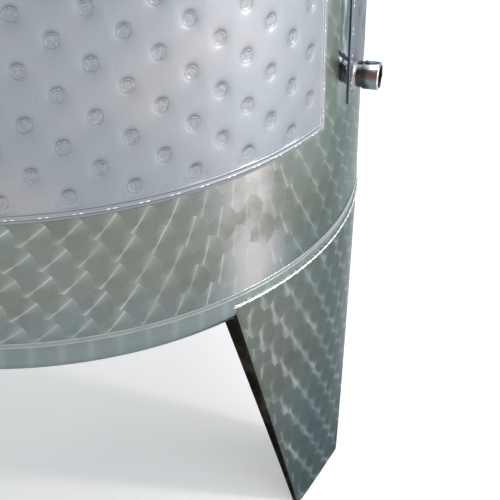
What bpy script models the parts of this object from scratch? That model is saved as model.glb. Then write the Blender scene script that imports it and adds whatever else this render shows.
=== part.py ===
"""Stainless jacketed tank on three folded sheet legs.

Metres, +Z up. The origin is on the floor, on the tank's axis. Azimuths are in degrees, counted from -Y
towards +X, so a person in front of the tank looks along +Y and azimuth 90 is on their right.
"""

import math

import bmesh
import bpy
from mathutils import Matrix, Vector

SEAT_GAP = 0.0003
MERGE_DISTANCE = 0.00001
SHARP_EDGE_ANGLE = 35.0

# Cylindrical wall, one rolled course
SHELL_R = 0.398
SHELL_WALL = 0.002
SHELL_SEGMENTS = 80
SEAM_HEIGHT = 0.005
SEAM_PROUD = 0.0004
BOTTOM_SEAM_Z = 0.3776
TOP_SEAM_Z = BOTTOM_SEAM_Z + 1.250

# Dished ends, the top one a mirror image of the bottom one
HEAD_WALL = 0.002
HEAD_FLANGE = 0.015
KNUCKLE_R = 0.028
CROWN_R = 0.800
KNUCKLE_STEPS = 4
CROWN_STEPS = 4
HEAD_SEGMENTS = 56

# Dimple jacket, one sheet that leaves a narrow strip of the wall bare
JACKET_SHEET = 0.001
JACKET_SEAT = 0.0005
JACKET_PROUD = 0.0026
JACKET_BORDER = 0.012
JACKET_BOTTOM_Z = 0.519
JACKET_HEIGHT = 0.9666
JACKET_GAP_AZIMUTH = 32.1
JACKET_GAP_ANGLE = 10.0
JACKET_COLUMNS = 80
JACKET_ROWS = 3

# Jacket inlet and outlet, pipe ends with a screwed socket, on the jacket's end by the bare strip
NIPPLE_AZIMUTH = 40.4
NIPPLE_FROM_JACKET_EDGE = 0.0282
NIPPLE_REACH = 0.0305
NIPPLE_INSIDE = 0.001
NIPPLE_BORE_R = 0.0122
NIPPLE_NECK_R = 0.0147
NIPPLE_SOCKET_R = 0.0160
NIPPLE_SOCKET = 0.018
NIPPLE_CHAMFER = 0.0010
NIPPLE_SEGMENTS = 28

# Legs, each one folded sheet
LEG_AZIMUTHS = (30.0, 150.0, 270.0)
LEG_SHEET = 0.003
LEG_PROUD = 0.0008
LEG_TOP_Z = 0.3636
LEG_TOP_HALF_ANGLE = 23.9
LEG_FOOT_HALF_WIDTH = 0.0604
LEG_FOOT_APOTHEM = 0.3970
LEG_FOOT_SAGITTA = 0.0003
LEG_BEND_R = 0.008
LEG_FLANGE_TOP = 0.017
LEG_FLANGE_FOOT = 0.0015
LEG_UNDERCUT = 0.012
LEG_WEB_STEPS = 10
LEG_BEND_STEPS = 2
LEG_HEIGHT_STEPS = 4

# Manhole on the top end
MANHOLE_R = 0.200
MANHOLE_WALL = 0.002
MANHOLE_NECK_HEIGHT = 0.070
MANHOLE_RIM = 0.012
GASKET_HEIGHT = 0.004
GASKET_INSET = 0.001
LID_SHEET = 0.0015
LID_RISE = 0.022
LID_STEPS = 3
RING_SHEET = 0.0015
RING_FIT = 0.0007
RING_LEG = 0.008
RING_OPENING_ANGLE = 6.0
RING_OPENING_AZIMUTH = 0.0
LID_SEGMENTS = 56
LEVER_LENGTH = 0.110
LEVER_HEIGHT = 0.014
LEVER_THICKNESS = 0.004
LEVER_STEPS = 8
HANDLE_ROD_R = 0.005
HANDLE_SPAN = 0.110
HANDLE_RISE = 0.038
HANDLE_CORNER = 0.014
HANDLE_OFFSET = 0.105
HANDLE_CORNER_STEPS = 4

# Breather on the lid and drain under the bottom end
VENT_R = 0.016
VENT_BODY_HEIGHT = 0.030
VENT_CAP_R = 0.027
VENT_CAP_HEIGHT = 0.024
VENT_CAP_CHAMFER = 0.004
VENT_SEGMENTS = 24
DRAIN_BORE_R = 0.0185
DRAIN_TUBE_R = 0.0205
DRAIN_THREAD_R = 0.0325
DRAIN_THREAD = 0.016
DRAIN_LENGTH = 0.060
DRAIN_SEGMENTS = 32

MARBLED_STEEL = ("marbled_steel", (0.245, 0.262, 0.222), 0.34, 1.0)
JACKET_STEEL = ("jacket_steel", (0.445, 0.455, 0.500), 0.42, 1.0)
PLAIN_STEEL = ("plain_steel", (0.36, 0.37, 0.36), 0.38, 1.0)
WELD_STEEL = ("weld_steel", (0.52, 0.53, 0.52), 0.30, 1.0)
POLISHED_STEEL = ("polished_steel", (0.62, 0.63, 0.64), 0.12, 1.0)
GASKET_RUBBER = ("gasket_rubber", (0.035, 0.036, 0.038), 0.70, 0.0)
VENT_PLASTIC = ("vent_plastic", (0.55, 0.56, 0.55), 0.45, 0.0)


def clear_scene():
    for item in list(bpy.data.objects):
        bpy.data.objects.remove(item, do_unlink=True)


def make_collection(name):
    collection = bpy.data.collections.new(name)
    bpy.context.scene.collection.children.link(collection)
    return collection


def material_for(finish):
    name, colour, roughness, metallic = finish
    material = bpy.data.materials.get(name)
    if material is None:
        material = bpy.data.materials.new(name)
        material.use_nodes = True
        shader = material.node_tree.nodes["Principled BSDF"]
        shader.inputs["Base Color"].default_value = (*colour, 1.0)
        shader.inputs["Roughness"].default_value = roughness
        shader.inputs["Metallic"].default_value = metallic
    return material


def add_mesh(name, mesh, finish, smooth=True):
    """A node of the tank from a mesh."""
    part = bpy.data.objects.new(name, mesh)
    TANK.objects.link(part)
    mesh.materials.append(material_for(finish))
    if smooth:
        mesh.shade_smooth()
        mesh.set_sharp_from_angle(angle=math.radians(SHARP_EDGE_ANGLE))
    return part


def mesh_from(name, shape):
    mesh = bpy.data.meshes.new(name)
    shape.to_mesh(mesh)
    shape.free()
    return mesh


def profile_mesh(name, points, closed):
    """Points (radius, height) as a line of edges in the XZ plane."""
    shape = bmesh.new()
    corners = [shape.verts.new((r, 0.0, z)) for r, z in points]
    ends = corners[1:] + corners[:1] if closed else corners[1:]
    for first, second in zip(corners, ends):
        shape.edges.new((first, second))
    return mesh_from(name, shape)


def add_screw(part, segments):
    """A full turn about Z, with smooth faces."""
    screw = part.modifiers.new("Turn", "SCREW")
    screw.steps = segments
    screw.render_steps = segments
    screw.use_merge_vertices = True
    screw.merge_threshold = MERGE_DISTANCE
    screw.use_smooth_shade = True


def turned(name, points, segments, finish):
    """A solid ring from a closed profile that runs down its outer side."""
    part = add_mesh(name, profile_mesh(name, points, closed=True), finish, smooth=False)
    add_screw(part, segments)
    return part


def turned_on_axis(name, points, segments, finish):
    """A solid of revolution whose open profile starts and ends on the axis."""
    part = add_mesh(name, profile_mesh(name, points, closed=False), finish, smooth=False)
    add_screw(part, segments)
    return part


def turned_sheet(name, points, wall, segments, finish):
    """A sheet of one thickness from the open profile of its outer side, top to bottom."""
    part = add_mesh(name, profile_mesh(name, points, closed=False), finish, smooth=False)
    add_screw(part, segments)
    add_wall(part, wall)
    return part


def add_wall(part, wall):
    """Thickens an open surface inwards."""
    solidify = part.modifiers.new("Wall", "SOLIDIFY")
    solidify.thickness = wall
    solidify.offset = -1.0
    solidify.use_even_offset = True


def cut(part, cutter):
    boolean = part.modifiers.new("Cut " + cutter.name, "BOOLEAN")
    boolean.operation = "DIFFERENCE"
    boolean.solver = "EXACT"
    boolean.object = cutter


def hide_cutter(cutter):
    TANK.objects.unlink(cutter)
    CUTTERS.objects.link(cutter)
    cutter.hide_render = True
    cutter.display_type = "WIRE"
    return cutter


def turned_about(azimuth):
    """The turn about Z that brings the -Y side to this azimuth."""
    return Matrix.Rotation(math.radians(azimuth), 4, "Z")


def arc(centre, radius, start, end, steps):
    """Points on an arc, angles in degrees from +X."""
    angles = [math.radians(start + (end - start) * i / steps) for i in range(steps + 1)]
    return [(centre[0] + radius * math.cos(a), centre[1] + radius * math.sin(a)) for a in angles]


def head_outline(hole_r, grow=0.0):
    """The outer side of a dished end below its seam at height 0, from the seam to the hole.

    The straight flange is followed by the knuckle's arc and by the crown's arc, each tangent to the
    last. A positive grow gives the line that lies that far outside.
    """
    outer_r = SHELL_R
    knuckle_centre = (outer_r - KNUCKLE_R, -HEAD_FLANGE)
    span = CROWN_R - KNUCKLE_R
    lean = math.degrees(math.asin(knuckle_centre[0] / span))
    crown_centre = (0.0, knuckle_centre[1] + span * math.cos(math.radians(lean)))
    knuckle = arc(knuckle_centre, KNUCKLE_R + grow, 0.0, lean - 90.0, KNUCKLE_STEPS)
    hole_lean = math.degrees(math.asin(hole_r / (CROWN_R + grow)))
    crown = arc(crown_centre, CROWN_R + grow, lean - 90.0, hole_lean - 90.0, CROWN_STEPS)
    return [(outer_r + grow, -SEAM_HEIGHT / 2 - SEAT_GAP)] + knuckle + crown[1:]


def crown_height(radius):
    """How far the top end's outer side stands over its seam at a radius."""
    span = CROWN_R - KNUCKLE_R
    centre = HEAD_FLANGE - math.sqrt(span**2 - (SHELL_R - KNUCKLE_R) ** 2)
    return centre + math.sqrt(CROWN_R**2 - radius**2)


def make_shell():
    half_seam = SEAM_HEIGHT / 2 + SEAT_GAP
    low = BOTTOM_SEAM_Z + half_seam
    high = TOP_SEAM_Z - half_seam
    inner = SHELL_R - SHELL_WALL
    outline = [(SHELL_R, high), (SHELL_R, low), (inner, low), (inner, high)]
    return turned("shell", outline, SHELL_SEGMENTS, MARBLED_STEEL)


def make_seam_weld(name, seam_z):
    """The weld between the wall and an end, a little proud of both."""
    outer = SHELL_R + SEAM_PROUD
    inner = SHELL_R - SHELL_WALL
    half = SEAM_HEIGHT / 2
    high = seam_z + half
    low = seam_z - half
    outline = [(outer, high), (outer, low), (inner, low), (inner, high)]
    return turned(name, outline, SHELL_SEGMENTS, WELD_STEEL)


def make_bottom_head():
    outline = [(r, BOTTOM_SEAM_Z + z) for r, z in head_outline(DRAIN_BORE_R)]
    return turned_sheet("bottom_head", outline, HEAD_WALL, HEAD_SEGMENTS, PLAIN_STEEL)


def make_top_head():
    hole_r = MANHOLE_R - MANHOLE_WALL
    outline = [(r, TOP_SEAM_Z - z) for r, z in reversed(head_outline(hole_r))]
    return turned_sheet("top_head", outline, HEAD_WALL, HEAD_SEGMENTS, PLAIN_STEEL)


def make_head_clearance():
    """The space of the bottom end with a seat's gap round it, which trims the legs."""
    side = head_outline(0.0, grow=SEAT_GAP)
    outline = [(0.0, 0.0), (SHELL_R + SEAT_GAP, 0.0)] + side[1:]
    placed = [(r, BOTTOM_SEAM_Z + z) for r, z in outline]
    return hide_cutter(turned_on_axis("head_clearance", placed, HEAD_SEGMENTS, PLAIN_STEEL))


def make_floor_cutter():
    """A slab under the floor's level, which trims the feet flat."""
    width = 3 * SHELL_R
    depth = 4 * LEG_UNDERCUT
    shape = bmesh.new()
    bmesh.ops.create_cube(shape, size=1.0)
    bmesh.ops.scale(shape, vec=(width, width, depth), verts=shape.verts)
    bmesh.ops.translate(shape, vec=(0.0, 0.0, -depth / 2), verts=shape.verts)
    mesh = mesh_from("floor_cutter", shape)
    return hide_cutter(add_mesh("floor_cutter", mesh, PLAIN_STEEL, smooth=False))


def jacket_angles():
    """Azimuths of the jacket's columns, with one narrow column at each end for its border."""
    start = JACKET_GAP_AZIMUTH + JACKET_GAP_ANGLE / 2
    end = start + 360.0 - JACKET_GAP_ANGLE
    border = math.degrees(JACKET_BORDER / SHELL_R)
    inner = JACKET_COLUMNS - 2
    step = (end - start - 2 * border) / inner
    return [start] + [start + border + step * i for i in range(inner + 1)] + [end]


def jacket_heights():
    low = JACKET_BOTTOM_Z
    high = JACKET_BOTTOM_Z + JACKET_HEIGHT
    inner = JACKET_ROWS - 2
    step = (high - low - 2 * JACKET_BORDER) / inner
    return [low] + [low + JACKET_BORDER + step * i for i in range(inner + 1)] + [high]


def make_jacket():
    """A grid bent round the wall, seated on it at the border and proud of it elsewhere."""
    angles = jacket_angles()
    heights = jacket_heights()
    shape = bmesh.new()
    bmesh.ops.create_grid(shape, x_segments=JACKET_COLUMNS, y_segments=JACKET_ROWS, size=1.0)
    for vert in shape.verts:
        column = round((vert.co.x + 1.0) / 2.0 * JACKET_COLUMNS)
        row = round((vert.co.y + 1.0) / 2.0 * JACKET_ROWS)
        at_border = column in (0, JACKET_COLUMNS) or row in (0, JACKET_ROWS)
        radius = SHELL_R + (JACKET_SEAT + JACKET_SHEET if at_border else JACKET_PROUD)
        azimuth = math.radians(angles[column])
        vert.co = (radius * math.sin(azimuth), -radius * math.cos(azimuth), heights[row])
    jacket = add_mesh("jacket", mesh_from("jacket", shape), JACKET_STEEL)
    add_wall(jacket, JACKET_SHEET)
    return jacket


def nipple_heights():
    return (
        ("lower_nipple", JACKET_BOTTOM_Z + NIPPLE_FROM_JACKET_EDGE),
        ("upper_nipple", JACKET_BOTTOM_Z + JACKET_HEIGHT - NIPPLE_FROM_JACKET_EDGE),
    )


def nipple_matrix(height):
    """Stands a shape turned about Z on the wall, pointing out of it at the nipples' azimuth."""
    outward = turned_about(NIPPLE_AZIMUTH) @ Vector((0.0, -1.0, 0.0))
    turn = Vector((0.0, 0.0, 1.0)).rotation_difference(outward).to_matrix().to_4x4()
    return Matrix.Translation(Vector((0.0, 0.0, height)) + outward * SHELL_R) @ turn


def make_nipple(name, height):
    shoulder = NIPPLE_REACH - NIPPLE_SOCKET
    step = NIPPLE_SOCKET_R - NIPPLE_NECK_R
    outline = [
        (NIPPLE_SOCKET_R - NIPPLE_CHAMFER, NIPPLE_REACH),
        (NIPPLE_SOCKET_R, NIPPLE_REACH - NIPPLE_CHAMFER),
        (NIPPLE_SOCKET_R, shoulder),
        (NIPPLE_NECK_R, shoulder - step),
        (NIPPLE_NECK_R, NIPPLE_INSIDE),
        (NIPPLE_BORE_R, NIPPLE_INSIDE),
        (NIPPLE_BORE_R, NIPPLE_REACH),
    ]
    nipple = turned(name, outline, NIPPLE_SEGMENTS, POLISHED_STEEL)
    nipple.matrix_world = nipple_matrix(height)
    return nipple


def make_nipple_hole(name, height):
    """The round hole in the jacket that a nipple passes through."""
    shape = bmesh.new()
    bmesh.ops.create_cone(
        shape,
        cap_ends=True,
        segments=NIPPLE_SEGMENTS,
        radius1=NIPPLE_NECK_R + SEAT_GAP,
        radius2=NIPPLE_NECK_R + SEAT_GAP,
        depth=2 * NIPPLE_SOCKET,
    )
    cutter = add_mesh(name + "_hole", mesh_from(name + "_hole", shape), POLISHED_STEEL, smooth=False)
    cutter.matrix_world = nipple_matrix(height)
    return hide_cutter(cutter)


def leg_section(fraction):
    """Half of a leg's outer line at a height, as (across, outward) from its middle to its free edge.

    The fraction is 0 at the foot, where the web is flat, and 1 at the top, where it follows the wall.
    """
    top_r = SHELL_R + LEG_PROUD
    top_half = top_r * math.sin(math.radians(LEG_TOP_HALF_ANGLE))
    top_sagitta = top_r * (1.0 - math.cos(math.radians(LEG_TOP_HALF_ANGLE)))

    def between(foot, top):
        return foot + (top - foot) * fraction

    half = between(LEG_FOOT_HALF_WIDTH, top_half)
    sagitta = max(between(LEG_FOOT_SAGITTA, top_sagitta), LEG_FOOT_SAGITTA)
    middle = between(LEG_FOOT_APOTHEM, top_r)
    flange = between(LEG_FLANGE_FOOT, LEG_FLANGE_TOP)
    radius = (half**2 + sagitta**2) / (2.0 * sagitta)
    end = math.asin((half - LEG_BEND_R) / (radius - LEG_BEND_R))
    centre = middle - radius
    points = []
    for i in range(LEG_WEB_STEPS // 2 + 1):
        lean = end * i / (LEG_WEB_STEPS // 2)
        points.append((radius * math.sin(lean), centre + radius * math.cos(lean)))
    across, outward = points[-1]
    for i in range(1, LEG_BEND_STEPS + 1):
        lean = end + (math.pi / 2 - end) * i / LEG_BEND_STEPS
        reach = LEG_BEND_R * (math.sin(lean) - math.sin(end))
        drop = LEG_BEND_R * (math.cos(lean) - math.cos(end))
        points.append((across + reach, outward + drop))
    points.append((points[-1][0], points[-1][1] - flange))
    return points


def make_leg(name, azimuth, cutters):
    """A grid folded to the leg's sections, thickened inwards and trimmed by its neighbours."""
    columns = 2 * (LEG_WEB_STEPS // 2 + LEG_BEND_STEPS + 1)
    shape = bmesh.new()
    bmesh.ops.create_grid(shape, x_segments=columns, y_segments=LEG_HEIGHT_STEPS, size=1.0)
    low = -LEG_UNDERCUT
    for vert in shape.verts:
        column = round((vert.co.x + 1.0) / 2.0 * columns) - columns // 2
        height = low + (LEG_TOP_Z - low) * (vert.co.y + 1.0) / 2.0
        across, outward = leg_section(height / LEG_TOP_Z)[abs(column)]
        vert.co = (math.copysign(across, column), -outward, height)
    leg = add_mesh(name, mesh_from(name, shape), MARBLED_STEEL)
    add_wall(leg, LEG_SHEET)
    leg.matrix_world = turned_about(azimuth)
    for cutter in cutters:
        cut(leg, cutter)
    return leg


def manhole_base_z():
    """Height of the seat of the manhole's neck on the top end."""
    return TOP_SEAM_Z + crown_height(MANHOLE_R - MANHOLE_WALL) + SEAT_GAP


def manhole_rim_z():
    return manhole_base_z() + MANHOLE_NECK_HEIGHT


def make_manhole_neck():
    """A rolled collar with its rim turned out."""
    inner = MANHOLE_R - MANHOLE_WALL
    rim = MANHOLE_R + MANHOLE_RIM
    top = manhole_rim_z()
    outline = [
        (inner, top),
        (rim, top),
        (rim, top - MANHOLE_WALL),
        (MANHOLE_R, top - MANHOLE_WALL),
        (MANHOLE_R, manhole_base_z()),
        (inner, manhole_base_z()),
    ]
    return turned("manhole_neck", outline, LID_SEGMENTS, PLAIN_STEEL)


def lid_base_z():
    return manhole_rim_z() + GASKET_HEIGHT + 2 * SEAT_GAP


def make_gasket():
    inner = MANHOLE_R - MANHOLE_WALL
    rim = MANHOLE_R + MANHOLE_RIM - GASKET_INSET
    low = manhole_rim_z() + SEAT_GAP
    high = low + GASKET_HEIGHT
    outline = [(inner, high), (rim, high), (rim, low), (inner, low)]
    return turned("manhole_gasket", outline, LID_SEGMENTS, GASKET_RUBBER)


def lid_height(radius):
    """Height of the lid's upper side, domed inside its flat rim."""
    flat = lid_base_z() + LID_SHEET
    if radius >= MANHOLE_R:
        return flat
    return flat + LID_RISE * (1.0 - (radius / MANHOLE_R) ** 2)


def make_lid():
    dome = [MANHOLE_R * i / LID_STEPS for i in range(LID_STEPS + 1)]
    outline = [(r, lid_height(r)) for r in dome]
    outline.append((MANHOLE_R + MANHOLE_RIM, lid_height(MANHOLE_R + MANHOLE_RIM)))
    return turned_sheet("manhole_lid", outline, LID_SHEET, LID_SEGMENTS, PLAIN_STEEL)


def make_closing_ring():
    """A channel-shaped band that grips the rims of the lid and of the neck, open at its lever."""
    inner = MANHOLE_R + MANHOLE_RIM + RING_FIT
    outer = inner + RING_SHEET
    grip = inner - RING_LEG
    high = lid_base_z() + LID_SHEET + SEAT_GAP
    low = manhole_rim_z() - MANHOLE_WALL - SEAT_GAP
    outline = [
        (grip, high + RING_SHEET),
        (outer, high + RING_SHEET),
        (outer, low - RING_SHEET),
        (grip, low - RING_SHEET),
        (grip, low),
        (inner, low),
        (inner, high),
        (grip, high),
    ]
    start = math.radians(RING_OPENING_AZIMUTH + RING_OPENING_ANGLE / 2 - 90.0)
    shape = bmesh.new()
    face = shape.faces.new([shape.verts.new((r, 0.0, z)) for r, z in outline])
    bmesh.ops.rotate(shape, verts=shape.verts, matrix=Matrix.Rotation(start, 3, "Z"))
    moving_end = bmesh.ops.duplicate(shape, geom=[face] + face.edges[:] + face.verts[:])
    bmesh.ops.spin(
        shape,
        geom=moving_end["geom"],
        axis=(0.0, 0.0, 1.0),
        angle=math.radians(360.0 - RING_OPENING_ANGLE),
        steps=LID_SEGMENTS,
    )
    bmesh.ops.remove_doubles(shape, verts=shape.verts, dist=MERGE_DISTANCE)
    bmesh.ops.recalc_face_normals(shape, faces=shape.faces)
    return add_mesh("closing_ring", mesh_from("closing_ring", shape), POLISHED_STEEL)


def make_ring_lever():
    """The flat lever that pulls the ring's ends together, bent to the ring's curve."""
    inner = MANHOLE_R + MANHOLE_RIM + RING_FIT + RING_SHEET + SEAT_GAP
    outer = inner + LEVER_THICKNESS
    middle = (manhole_rim_z() + lid_base_z()) / 2
    shape = bmesh.new()
    bmesh.ops.create_grid(shape, x_segments=LEVER_STEPS, y_segments=1, size=1.0)
    for vert in shape.verts:
        azimuth = math.radians(RING_OPENING_AZIMUTH) + vert.co.x * LEVER_LENGTH / 2 / outer
        height = middle + vert.co.y * LEVER_HEIGHT / 2
        vert.co = (outer * math.sin(azimuth), -outer * math.cos(azimuth), height)
    lever = add_mesh("ring_lever", mesh_from("ring_lever", shape), POLISHED_STEEL)
    add_wall(lever, LEVER_THICKNESS)
    return lever


def handle_path():
    """The bent rod's centre line on the lid, standing on both ends.

    Its feet are flat, so they stand clear of the dome under their inner side.
    """
    half = HANDLE_SPAN / 2
    foot_z = lid_height(math.hypot(HANDLE_OFFSET, half) - HANDLE_ROD_R) + SEAT_GAP
    centre = (half - HANDLE_CORNER, foot_z + HANDLE_RISE - HANDLE_CORNER)
    bend = arc(centre, HANDLE_CORNER, 0.0, 90.0, HANDLE_CORNER_STEPS)
    right = [(half, foot_z)] + bend
    return right + [(-x, z) for x, z in reversed(right)]


def make_lid_handle():
    """A round rod bent to a grip, on the half of the lid that faces azimuth 0."""
    path = handle_path()
    curve = bpy.data.curves.new("lid_handle", "CURVE")
    curve.dimensions = "3D"
    curve.bevel_depth = HANDLE_ROD_R
    curve.bevel_resolution = 2
    curve.use_fill_caps = True
    spline = curve.splines.new("POLY")
    spline.points.add(len(path) - 1)
    for point, (x, z) in zip(spline.points, path):
        point.co = (x, -HANDLE_OFFSET, z, 1.0)
    handle = bpy.data.objects.new("lid_handle", curve)
    TANK.objects.link(handle)
    curve.materials.append(material_for(POLISHED_STEEL))
    return handle


def make_vent():
    """A screwed stub in the middle of the lid and the loose cap over it."""
    base = lid_height(0.0) + SEAT_GAP
    body_top = base + VENT_BODY_HEIGHT
    body = [(0.0, body_top), (VENT_R, body_top), (VENT_R, base), (0.0, base)]
    turned_on_axis("vent_body", body, VENT_SEGMENTS, POLISHED_STEEL)
    cap_low = body_top + SEAT_GAP
    cap_high = cap_low + VENT_CAP_HEIGHT
    cap = [
        (0.0, cap_high),
        (VENT_CAP_R - VENT_CAP_CHAMFER, cap_high),
        (VENT_CAP_R, cap_high - VENT_CAP_CHAMFER),
        (VENT_CAP_R, cap_low),
        (0.0, cap_low),
    ]
    turned_on_axis("vent_cap", cap, VENT_SEGMENTS, VENT_PLASTIC)


def make_drain():
    """A short pipe under the bottom end with a screwed union end."""
    span = CROWN_R - KNUCKLE_R
    centre = -HEAD_FLANGE + math.sqrt(span**2 - (SHELL_R - KNUCKLE_R) ** 2)
    top = BOTTOM_SEAM_Z + centre - CROWN_R - SEAT_GAP
    low = top - DRAIN_LENGTH
    shoulder = low + DRAIN_THREAD
    cone = DRAIN_THREAD_R - DRAIN_TUBE_R
    outline = [
        (DRAIN_TUBE_R, top),
        (DRAIN_TUBE_R, shoulder + cone),
        (DRAIN_THREAD_R, shoulder),
        (DRAIN_THREAD_R, low),
        (DRAIN_BORE_R, low),
        (DRAIN_BORE_R, top),
    ]
    return turned("drain", outline, DRAIN_SEGMENTS, POLISHED_STEEL)


def make_tank():
    make_shell()
    make_seam_weld("bottom_seam_weld", BOTTOM_SEAM_Z)
    make_seam_weld("top_seam_weld", TOP_SEAM_Z)
    make_bottom_head()
    make_top_head()
    jacket = make_jacket()
    for name, height in nipple_heights():
        cut(jacket, make_nipple_hole(name, height))
        make_nipple(name, height)
    cutters = [make_head_clearance(), make_floor_cutter()]
    for number, azimuth in enumerate(LEG_AZIMUTHS, start=1):
        make_leg(f"leg_{number}", azimuth, cutters)
    make_manhole_neck()
    make_gasket()
    make_lid()
    make_closing_ring()
    make_ring_lever()
    make_lid_handle()
    make_vent()
    make_drain()


clear_scene()
TANK = make_collection("jacketed_tank")
CUTTERS = make_collection("cutters")
make_tank()
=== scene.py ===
"""Looks of the jacketed tank: its finishes, its fine shapes, the studio and the camera.

Metres, +Z up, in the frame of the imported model. Azimuths are in degrees, counted from -Y towards +X.
"""

from __future__ import annotations

import logging
import math
from dataclasses import dataclass, field
from enum import Enum
from typing import Callable, Iterable, Union

import bmesh
import bpy
import numpy as np
from mathutils import Matrix, Vector


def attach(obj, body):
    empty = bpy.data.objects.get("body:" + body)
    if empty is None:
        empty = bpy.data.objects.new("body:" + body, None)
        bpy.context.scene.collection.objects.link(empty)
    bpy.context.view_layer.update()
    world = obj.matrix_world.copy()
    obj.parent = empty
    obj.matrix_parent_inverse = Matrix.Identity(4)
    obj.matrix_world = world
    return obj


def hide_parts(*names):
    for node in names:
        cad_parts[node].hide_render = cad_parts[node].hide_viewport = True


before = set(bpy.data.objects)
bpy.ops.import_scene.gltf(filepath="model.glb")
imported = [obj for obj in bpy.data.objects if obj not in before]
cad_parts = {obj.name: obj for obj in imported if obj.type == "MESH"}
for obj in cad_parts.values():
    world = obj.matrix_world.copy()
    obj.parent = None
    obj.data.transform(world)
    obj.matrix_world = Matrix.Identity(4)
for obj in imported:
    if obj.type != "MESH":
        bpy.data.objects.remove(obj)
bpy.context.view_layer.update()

LOG = logging.getLogger("tank")
SHEET_UV = "Sheet"
MERGE = 0.00001
SEAT_GAP = 0.0003

Number = Union[int, float, "Value"]
Profile = list[tuple[float, float]]
Colour = tuple[float, float, float]


# --------------------------------------------------------------------------------------------------
# Shader graphs
# --------------------------------------------------------------------------------------------------


class Value:
    """A number socket whose Python operators add Math nodes."""

    def __init__(self, graph: "Graph", socket: bpy.types.NodeSocket) -> None:
        """Wraps an output socket of the graph."""
        self.graph = graph
        self.socket = socket

    def __add__(self, other: Number) -> "Value":
        """self + other."""
        return self.graph.math("ADD", self, other)

    def __radd__(self, other: Number) -> "Value":
        """other + self."""
        return self.graph.math("ADD", other, self)

    def __sub__(self, other: Number) -> "Value":
        """self - other."""
        return self.graph.math("SUBTRACT", self, other)

    def __rsub__(self, other: Number) -> "Value":
        """other - self."""
        return self.graph.math("SUBTRACT", other, self)

    def __mul__(self, other: Number) -> "Value":
        """self * other."""
        return self.graph.math("MULTIPLY", self, other)

    def __rmul__(self, other: Number) -> "Value":
        """other * self."""
        return self.graph.math("MULTIPLY", other, self)

    def __truediv__(self, other: Number) -> "Value":
        """self / other."""
        return self.graph.math("DIVIDE", self, other)

    def __rtruediv__(self, other: Number) -> "Value":
        """other / self."""
        return self.graph.math("DIVIDE", other, self)

    def __pow__(self, other: Number) -> "Value":
        """This number to a power; a square also takes negative numbers."""
        return self * self if other == 2 else self.graph.math("POWER", self, other)

    def __lt__(self, other: Number) -> "Value":
        """1 where self < other."""
        return self.graph.math("LESS_THAN", self, other)

    def __gt__(self, other: Number) -> "Value":
        """1 where self > other."""
        return self.graph.math("GREATER_THAN", self, other)


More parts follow.
